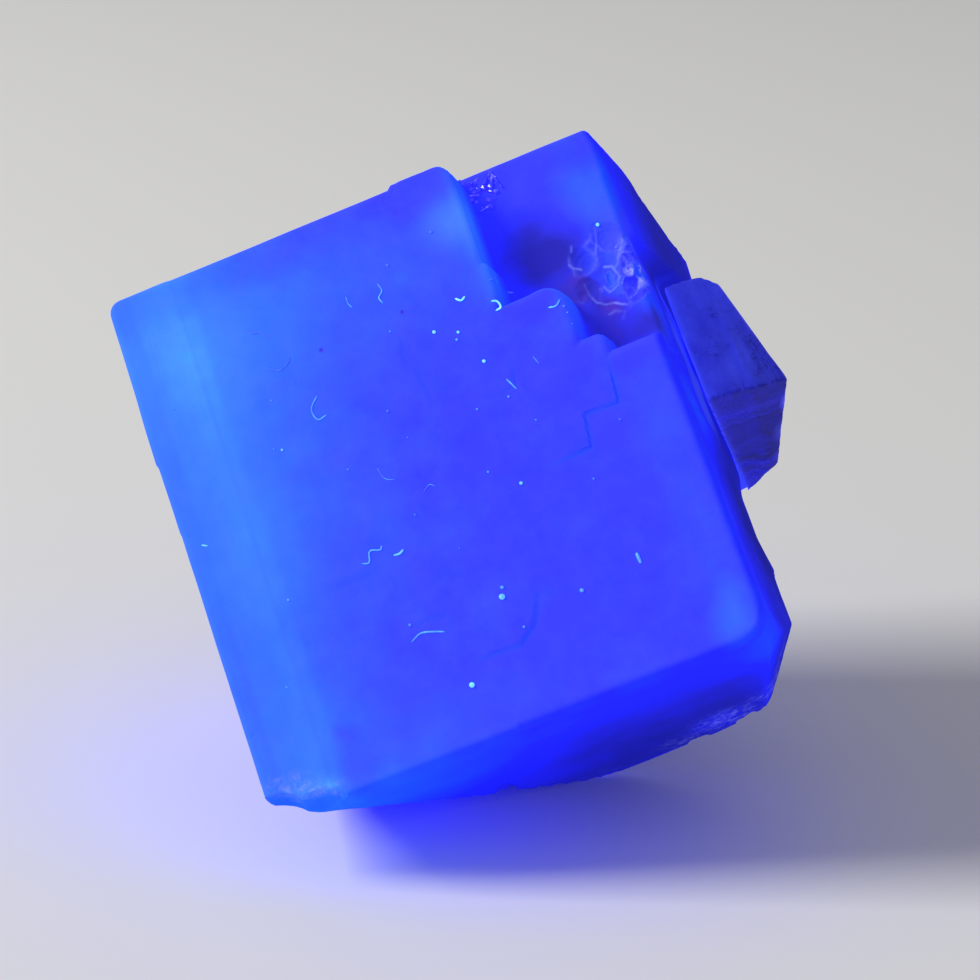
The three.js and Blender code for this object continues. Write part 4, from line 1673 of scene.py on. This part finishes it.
    # Milk added or taken away: more on the strip beside the quartz and at the upper right of the
    # face, to lighten them, and less on the right side, to darken it: painted light and shade in
    # the milk.
    milk_light_and_shade: tuple[Patch, ...] = (
        Patch((14.0, 0.0, -2.3), 1.9, 0.06),
        Patch((1.8, 0.0, -2.6), 3.0, 0.008),
        Patch((20.4, 2.9, -4.4), 1.9, 0.08),
        Patch((21.2, 8.0, -15.0), 9.5, -0.02),
    )
    frost_colour: str = "#848cff"
    ridge_colour: str = "#8c98ff"
    # The seam colour paints a thin line of shade along each growth step's edge: painted shade.
    seam_shade_colour: str = "#0a44f4"

    # Speckles of crushed stone, and the glow behind the rim of the staircase.
    speckle: Stops = ((0.45, 0.0), (0.54, 0.4), (0.62, 1.0))
    rim_glow: Stops = ((0.0, 0.0), (0.45, 0.02), (0.72, 0.08), (0.88, 0.13), (0.96, 0.02))

    # Noise: how the zones and the painted windows drift, then what is uneven on the faces.
    zone_drift: Clouds = Clouds(0.3, 3.0)
    window_drift: Clouds = Clouds(0.6, 3.0)
    mottle: Clouds = Clouds(0.8, 6.0, 0.7)
    haze: Clouds = Clouds(0.55, 6.0, 0.6)
    glint: Clouds = Clouds(1.4, 2.0)
    smears: Clouds = Clouds(0.9, 5.0, 0.7)
    splinters: Clouds = Clouds(2.6, 5.0, 0.75, 0.6)
    grain: Clouds = Clouds(3.0, 6.0, 0.62)

    def mark(self, piece: bpy.types.Object) -> None:
        """Stores the larger patches on the mesh, whose cells are finer than they are.

        Args:
            piece: the finished crystal.
        """
        points = lattice_points(piece)
        for mark, patches, join in (
            (Mark.LIGHT_AND_SHADE_PATCHES, self.patches, np.sum),
            (Mark.FROST, self.frost, np.max),
            (Mark.MILK_LIGHT_AND_SHADE, self.milk_light_and_shade, np.sum),
        ):
            add_values(piece, mark, join([patch.at(points) for patch in patches], axis=0))

    def surface(self, ground: Ground) -> dict[str, Any]:
        """The glow's colour, with milk over it on the grown faces, and the polish.

        Args:
            ground: what the finish paints on.

        Returns:
            The inputs of the surface shader.
        """
        tree, place, marks = ground.tree, ground.place, ground.marks
        wavy = self.shifted(ground, self.window_drift, 1.6)
        # Each window's colour paints shade on the set-back corner or light on the strip beside the
        # quartz.
        painted_dark_and_light_windows = [(window.value(tree, wavy), clear) for window, clear in self.painted_dark_and_light_windows]
        colour = add_node(tree, "ValToRGB", {0: self.zoning(ground)}, self.colours)
        # Over the glow: the growth steps' painted shade lines, the painted windows, the milk
        # inside, the frost and the lit ridges.
        for share, tint in (
            (marks[Mark.SEAM_SHADE], self.seam_shade_colour),
            *painted_dark_and_light_windows,
            (self.inner_milk_share, self.milk),
            (self.crushed(ground), self.frost_colour),
            (self.lit_ridges(ground), self.ridge_colour),
        ):
            layers = {0: share, 6: colour, 7: to_linear(tint)}
            colour = add_node(tree, "Mix", layers, data_type="RGBA").outputs[2]
        mottle = add_node(tree, "TexNoise", self.mottle.inputs(place))
        spread = {3: 0.75 * self.milk_share, 4: 1.25 * self.milk_share}
        milk = add_node(tree, "MapRange", {0: mottle, 1: 0.3, 2: 0.7, **spread})
        milk = add_node(tree, "Mix", {0: marks[Mark.SEAM_SHADE], 2: milk, 3: 0.5 * self.milk_share})
        for share, _ in painted_dark_and_light_windows:
            milk = add_node(tree, "Mix", {0: share, 2: milk, 3: self.deep_milk_share})
        skin = add_node(tree, "MapRange", {0: marks[Mark.SKIN], 3: self.deep_milk_share, 4: milk})
        share = add_node(tree, "Math", {0: skin, 1: marks[Mark.MILK_LIGHT_AND_SHADE]})
        layers = {0: share, 6: colour, 7: to_linear(self.milk)}
        milk_light_and_shade = add_node(tree, "Mix", layers, data_type="RGBA").outputs[2]
        smears = add_node(tree, "TexNoise", self.smears.inputs(place))
        spread = {3: self.satin - 0.1, 4: self.satin + 0.12}
        satin = add_node(tree, "MapRange", {0: smears, 1: 0.3, 2: 0.7, **spread})
        return {
            "Base Color": milk_light_and_shade,
            "Roughness": add_node(tree, "Mix", {0: marks[Mark.FRESH], 2: satin, 3: self.glossy}),
            "IOR": self.ior,
            "Specular IOR Level": self.sheen,
            "Transmission Weight": self.milky_transmission,
            "Emission Color": colour,
            "Emission Strength": self.glow,
            "Normal": self.relief(ground),
        }

    def shifted(self, ground: Ground, drift: Clouds, reach: float) -> bpy.types.NodeSocket:
        """The place moved by noise.

        Args:
            ground: what the finish paints on.
            drift: the noise.
            reach: twice the furthest that it moves along an axis, in mm.

        Returns:
            The moved place.
        """
        tree, place = ground.tree, ground.place
        cloud = add_node(tree, "TexNoise", drift.inputs(place)).outputs["Color"]
        way = add_node(tree, "VectorMath", {0: cloud, 1: (0.5, 0.5, 0.5)}, operation="SUBTRACT")
        move = {0: way, 1: (reach, reach, reach), 2: place}
        return add_node(tree, "VectorMath", move, operation="MULTIPLY_ADD").outputs[0]

    def crushed(self, ground: Ground) -> bpy.types.Node:
        """Where splinters, 0.1 to 0.4 mm across, scatter the light: speckles inside the frost.

        Args:
            ground: what the finish paints on.

        Returns:
            A node with the strength of the frost.
        """
        tree = ground.tree
        splinters = add_node(tree, "TexNoise", self.splinters.inputs(ground.place))
        bright = add_node(tree, "ValToRGB", {0: splinters}, self.speckle)
        both = {0: ground.marks[Mark.FROST], 1: bright}
        return add_node(tree, "Math", both, operation="MULTIPLY")

    def lit_ridges(self, ground: Ground) -> bpy.types.Node:
        """The ridges and cracks of the broken tip, which catch the light here and there.

        Args:
            ground: what the finish paints on.

        Returns:
            A node with the strength of the light on them.
        """
        tree = ground.tree
        glint = add_node(tree, "TexNoise", self.glint.inputs(ground.place))
        uneven = add_node(tree, "MapRange", {0: glint, 1: 0.35, 2: 0.6, 3: 0.35, 4: 1.0})
        both = {0: ground.marks[Mark.RIDGE], 1: uneven}
        return add_node(tree, "Math", both, operation="MULTIPLY")

    def zoning(self, ground: Ground) -> bpy.types.Node:
        """Brightness from 0 to 1: the growth zones, which drift a little, then patches, mostly
        painted light and shade, and painted highlights on the rims.

        The zones from left to right and from the top down are added up, and the sum is multiplied
        by the fading from front to back, which is partly painted shade.

        Args:
            ground: what the finish paints on.

        Returns:
            A node with the brightness.
        """
        tree, place, marks = ground.tree, ground.place, ground.marks
        moved = add_node(tree, "SeparateXYZ", {0: self.shifted(ground, self.zone_drift, 2.0)})
        still = add_node(tree, "SeparateXYZ", {0: place})
        zones = []
        for axis, end, stops in (
            (moved.outputs[0], FACE_WIDTH, self.rightward),
            (moved.outputs[2], -FACE_HEIGHT, self.downward),
            (still.outputs[1], self.fade_depth, self.backward_fade_and_shade),
            (still.outputs[0], FACE_WIDTH, self.streaks),
        ):
            share = add_node(tree, "MapRange", {0: axis, 1: 0.0, 2: end})
            zones.append(add_node(tree, "ValToRGB", {0: share}, stops))
        left, top, back, streaks = zones
        specks = [speck.value(tree, place) for speck in self.specks]
        details = [*self.details(ground, still), streaks, marks[Mark.FACET_SHADE], marks[Mark.LIGHT_AND_SHADE_PATCHES]]
        total = left
        for extra in (top, *specks, *details):
            total = add_node(tree, "Math", {0: total, 1: extra})
        faded = add_node(tree, "Math", {0: total, 1: back}, operation="MULTIPLY")
        return add_node(tree, "MapRange", {0: faded, 1: 0.0, 2: self.full})

    def details(self, ground: Ground, still: bpy.types.Node) -> list[bpy.types.Node]:
        """What is added to the zones: clouds, growth lines by the left edge, and painted highlights
        behind the staircase's rim and along the edges further back.

        Args:
            ground: what the finish paints on.
            still: a node with the place along each axis of the lattice.

        Returns:
            A node for each, with the brightness that it adds.
        """
        tree, marks = ground.tree, ground.marks
        across, behind, up = still.outputs
        haze = add_node(tree, "TexNoise", self.haze.inputs(ground.place))
        clouds = add_node(tree, "MapRange", {0: haze, 1: 0.25, 2: 0.75, 3: -0.025, 4: 0.025})
        layers = {"W": across, "Scale": 1.5, "Detail": 3.0}
        fine = add_node(tree, "TexNoise", layers, noise_dimensions="1D")
        lines = add_node(tree, "MapRange", {0: fine, 1: 0.35, 2: 0.7, 3: -0.012, 4: 0.02})
        fall = {0: across, 1: 2.6, 2: 4.6, 3: 1.0, 4: 0.0}
        near_left = add_node(tree, "MapRange", fall, interpolation_type="SMOOTHSTEP")
        rim = add_node(tree, "MapRange", {0: marks[Mark.RIM], 1: -1.2, 2: 0.2})
        rim_glow = add_node(tree, "ValToRGB", {0: rim}, self.rim_glow)
        upper = add_node(tree, "MapRange", {0: up, 1: -9.8, 2: -6.8, 3: 0.3, 4: 1.0})
        depth = add_node(tree, "MapRange", {0: behind, 1: 1.0, 2: 6.0, 3: 0.0, 4: 0.16})
        pairs = ((lines, near_left), (rim_glow, upper), (marks[Mark.EDGE_HIGHLIGHT], depth))
        return [clouds] + [
            add_node(tree, "Math", {0: one, 1: other}, operation="MULTIPLY") for one, other in pairs
        ]

    def relief(self, ground: Ground) -> bpy.types.Node:
        """A fine skin of growth marks, 0.1 to 0.5 mm across and a few hundredths deep.

        Args:
            ground: what the finish paints on.

        Returns:
            A node with the bumped normal.
        """
        grain = add_node(ground.tree, "TexNoise", self.grain.inputs(ground.place))
        bumps = {"Strength": 0.2, "Distance": 0.03 * MM, "Height": grain}
        return add_node(ground.tree, "Bump", bumps)


@dataclass(frozen=True)
class QuartzFinish(Finish):
    """Rock quartz, grown as a prism and pyramid: clear glass with a thin smoky blue depth.

    Its faces keep a natural polish with dark etch lines, a faint haze lies inside, and it glows far
    less than fluorite.
    """

    name: str = "quartz_clear"
    reads: tuple[Mark, ...] = (Mark.PRISM, Mark.BELOW, Mark.JOINT_GLOW)
    absorption: Colour = (0.0, 0.05, 0.94, 1.0)
    absorption_per_m: float = 2200.0
    ior: float = 1.544
    sheen: float = 0.04
    transmission: float = 0.5
    glow: float = 0.76
    haze: Stops = ((0.3, "#1c229a"), (0.45, "#242ca6"), (0.56, "#2832b0"), (0.75, "#323ec4"))
    etch_lines: Stops = ((0.485, 0.0), (0.5, 0.75), (0.515, 0.0))
    # The prism's striae are real bands; their colours are darker than the pyramid's haze, painted
    # shade on the faces below the ridge, which turn down.
    striae_in_shade: Stops = ((0.38, "#0a085c"), (0.48, "#0e0c80"), (0.58, "#14149a"), (0.7, "#2a28c0"))
    ridge_line: Stops = ((0.0, 0.0), (0.3, 0.9), (0.55, 0.7), (1.0, 0.0))
    ridge_dark: str = "#0a0a70"
    # A lighter line on the quartz along its joint with the fluorite: painted glow.
    joint_glow_colour: str = "#3c4af4"
    glints: tuple[Patch, ...] = (
        Patch((23.3, 12.9, -10.2), 0.45, 0.9),
        Patch((22.7, 13.6, -11.1), 0.7, 0.35),
        Patch((22.3, 14.1, -12.0), 0.6, 0.3),
    )
    glint_colour: str = "#4c52f0"
    veils: Clouds = Clouds(0.5, 6.0, 0.65)
    creases: Clouds = Clouds(0.55, 3.0, 0.6, 1.2)
    dashes: Clouds = Clouds(2.2, 2.0)
    etching: Clouds = Clouds(4.0, 5.0, 0.6)

    def surface(self, ground: Ground) -> dict[str, Any]:
        """Cloudy veils inside, bands across the prism in darker colours as painted shade, and fine
        etching on the faces.

        Args:
            ground: what the finish paints on.

        Returns:
            The inputs of the surface shader.
        """
        tree, place, marks = ground.tree, ground.place, ground.marks
        veil, crease, dash, etch = (
            add_node(tree, "TexNoise", clouds.inputs(place))
            for clouds in (self.veils, self.creases, self.dashes, self.etching)
        )
        below = marks[Mark.BELOW]
        bent = add_node(tree, "Math", {0: veil, 1: 1.6, 2: below}, operation="MULTIPLY_ADD")
        growth = {"W": bent, "Scale": 0.9, "Detail": 5.0, "Roughness": 0.65}
        striae = add_node(tree, "TexNoise", growth, noise_dimensions="1D")
        hazy = add_node(tree, "ValToRGB", {0: veil}, self.haze)
        banded = add_node(tree, "ValToRGB", {0: striae}, self.striae_in_shade)
        lines = add_node(tree, "ValToRGB", {0: crease}, self.etch_lines)
        kept = add_node(tree, "MapRange", {0: veil, 1: 0.52, 2: 0.42})
        # Along the ridge between the pyramid and the prism the colour turns dark, in dashes.
        near_ridge = add_node(tree, "MapRange", {0: below, 1: -0.12, 2: 0.4})
        ridge_darkening = add_node(tree, "ValToRGB", {0: near_ridge}, self.ridge_line)
        gaps = add_node(tree, "MapRange", {0: dash, 1: 0.4, 2: 0.56})
        etched = add_node(tree, "Math", {0: lines, 1: kept}, operation="MULTIPLY")
        dashed = add_node(tree, "Math", {0: ridge_darkening, 1: gaps}, operation="MULTIPLY")
        # edge is the lighter colour painted along the joint with the fluorite: a painted glow.
        dark, lit, edge = map(to_linear, (self.ridge_dark, self.glint_colour, self.joint_glow_colour))
        colour = hazy
        for share, tint in (
            (marks[Mark.PRISM], banded),
            (etched, dark),
            *[(glint.value(tree, place), lit) for glint in self.glints],
            (dashed, dark),
            (marks[Mark.JOINT_GLOW], edge),
        ):
            layers = {0: share, 6: colour, 7: tint}
            colour = add_node(tree, "Mix", layers, data_type="RGBA").outputs[2]
        bumps = {"Strength": 0.3, "Distance": 0.02 * MM, "Height": etch}
        return {
            "Base Color": colour,
            "Roughness": add_node(tree, "MapRange", {0: veil, 1: 0.3, 2: 0.7, 3: 0.08, 4: 0.25}),
            "IOR": self.ior,
            "Specular IOR Level": self.sheen,
            "Transmission Weight": self.transmission,
            "Emission Color": colour,
            "Emission Strength": self.glow,
            "Normal": add_node(tree, "Bump", bumps),
        }


@dataclass(frozen=True)
class DruseFinish(Finish):
    """Drusy quartz, a sugary crust of tiny points: pale lilac glints over the blue beneath."""

    name: str = "quartz_drusy"
    reads: tuple[Mark, ...] = (Mark.TIP,)
    ior: float = 1.544
    transmission: float = 0.6
    glow: float = 0.6
    colours: Stops = ((0.3, "#2c2aee"), (0.6, "#3c3af4"), (0.8, "#6460fa"), (1.0, "#aca4fe"))
    tints: Clouds = Clouds(5.0, 4.0, 0.7)

    def surface(self, ground: Ground) -> dict[str, Any]:
        """Each point has a slightly different tint, and is palest at its tip.

        Args:
            ground: what the finish paints on.

        Returns:
            The inputs of the surface shader.
        """
        tree = ground.tree
        tint = add_node(tree, "TexNoise", self.tints.inputs(ground.place))
        spread = add_node(tree, "MapRange", {0: tint, 1: 0.3, 2: 0.7, 3: -0.2, 4: 0.5})
        paler = {0: ground.marks[Mark.TIP], 1: 0.5, 2: spread}
        level = add_node(tree, "Math", paler, operation="MULTIPLY_ADD")
        colour = add_node(tree, "ValToRGB", {0: level}, self.colours)
        return {
            "Base Color": colour,
            "Roughness": add_node(tree, "MapRange", {0: tint, 3: 0.08, 4: 0.3}),
            "IOR": self.ior,
            "Transmission Weight": self.transmission,
            "Emission Color": colour,
            "Emission Strength": self.glow,
        }


@dataclass(frozen=True)
class LintFinish(Finish):
    """Cotton lint with optical brightener: it shines pale cyan."""

    name: str = "cotton_lint"
    reads: tuple[Mark, ...] = (Mark.SHINE,)
    colours: Stops = ((0.15, "#3a56ff"), (0.5, "#4a92ff"), (0.75, "#70c8ff"), (1.0, "#a4ecff"))
    glow: float = 0.9
    tints: Clouds = Clouds(2.2, 2.0)

    def surface(self, ground: Ground) -> dict[str, Any]:
        """Matt fibres, some brighter than others and each uneven along its length.

        Args:
            ground: what the finish paints on.

        Returns:
            The inputs of the surface shader.
        """
        tree = ground.tree
        tint = add_node(tree, "TexNoise", self.tints.inputs(ground.place))
        uneven = add_node(tree, "MapRange", {0: tint, 1: 0.3, 2: 0.7, 3: -0.25, 4: 0.15})
        level = add_node(tree, "Math", {0: uneven, 1: ground.marks[Mark.SHINE]})
        colour = add_node(tree, "ValToRGB", {0: level}, self.colours)
        glow = {"Emission Color": colour, "Emission Strength": self.glow}
        return {"Base Color": colour, "Roughness": 0.9, **glow}


# ---- studio --------------------------------------------------------------------------------------
@dataclass(frozen=True)
class Softbox:
    """A square studio light: where it is, how wide it is and its power in watts."""

    name: str
    place: Point
    width: float
    power: float

    def build(self) -> None:
        """Adds the light, turned to the middle of the specimen."""
        light = bpy.data.lights.new(self.name, "AREA")
        light.size = self.width
        light.energy = self.power
        lamp = bpy.data.objects.new(self.name, light)
        lamp.location = self.place
        aim = Vector((0.0, 0.0, 0.012)) - lamp.location
        lamp.rotation_euler = aim.to_track_quat("-Z", "Y").to_euler()
        bpy.context.scene.collection.objects.link(lamp)


@dataclass
class Studio:
    """The pale table, the soft light and the camera."""

    floor_half: float = 1.5
    floor_colour: str = "#efeeeb"
    air_colour: str = "#f4f5f8"
    air_strength: float = 0.32
    camera_place: Point = (0.001305, -0.115001, 0.049501)
    camera_tilt_deg: float = 72.0
    camera_lens: float = 110.2
    softboxes: tuple[Softbox, ...] = (Softbox("key", (-0.48, -0.06, 0.37), 0.24, 2.9),)

    def build_floor(self) -> None:
        """A wide plain floor at the height that the specimen rests on."""
        h = self.floor_half
        mesh = bpy.data.meshes.new("floor")
        corners = [(-h, -h, 0.0), (h, -h, 0.0), (h, h, 0.0), (-h, h, 0.0)]
        mesh.from_pydata(corners, [], [(0, 1, 2, 3)])
        floor = bpy.data.objects.new("floor", mesh)
        bpy.context.scene.collection.objects.link(floor)
        material, tree, out = new_material("matt_card")
        card = {"Base Color": to_linear(self.floor_colour), "Roughness": 0.9}
        shader = add_node(tree, "BsdfPrincipled", card)
        tree.links.new(shader.outputs[0], out.inputs["Surface"])
        mesh.materials.append(material)

    def build_light(self) -> None:
        """Even pale air and the softboxes."""
        world = bpy.data.worlds.new("air")
        world.use_nodes = True
        air = world.node_tree.nodes["Background"]
        air.inputs["Color"].default_value = to_linear(self.air_colour)
        air.inputs["Strength"].default_value = self.air_strength
        bpy.context.scene.world = world
        for softbox in self.softboxes:
            softbox.build()
        bpy.context.scene.view_settings.view_transform = "Standard"

    def build_camera(self) -> None:
        """The camera, a little above the table and looking slightly down."""
        view = bpy.data.cameras.new("camera")
        view.lens = self.camera_lens
        view.clip_start = 0.01
        camera = bpy.data.objects.new("camera", view)
        camera.location = self.camera_place
        camera.rotation_euler = (math.radians(self.camera_tilt_deg), 0.0, 0.0)
        bpy.context.scene.collection.objects.link(camera)
        bpy.context.scene.camera = camera


# ---- specimen ------------------------------------------------------------------------------------
@dataclass
class Specimen:
    """The whole specimen: each piece with its finish and node."""

    fluorite: FluoriteCrystal = field(default_factory=FluoriteCrystal)
    quartz: QuartzCrystal = field(default_factory=QuartzCrystal)
    druse: QuartzDruse = field(default_factory=QuartzDruse)

    def place(self, piece: bpy.types.Object, finish: Finish, node: str, slot: str) -> None:
        """Dresses a piece, hangs it under the root and hides the solid that it stands for.

        Args:
            piece: the finished mesh.
            finish: what it is made of.
            node: the solid that it stands for, or nothing.
            slot: not used.
        """
        piece.data.materials.append(finish.build())
        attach(piece, ROOT)
        if node:
            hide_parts(node)
        log.info("%s: %d faces", piece.name, len(piece.data.polygons))

    def build(self) -> None:
        """Builds and dresses every piece."""
        fluorite, finish = self.fluorite.build(), FluoriteFinish()
        finish.mark(fluorite)
        self.place(fluorite, finish, "fluorite_crystal", "fluorite")
        self.place(self.quartz.build(), QuartzFinish(), "quartz_crystal", "quartz")
        self.place(self.druse.build(), DruseFinish(), "quartz_druse", "druse")
        self.place(Lint(self.fluorite).build(), LintFinish(), "", "")


def main() -> None:
    """Builds the specimen, then the studio round it."""
    logging.basicConfig(level=logging.INFO, format="%(name)s: %(message)s")
    Specimen().build()
    studio = Studio()
    studio.build_floor()
    studio.build_light()
    studio.build_camera()


if __name__ == "__main__":
    main()
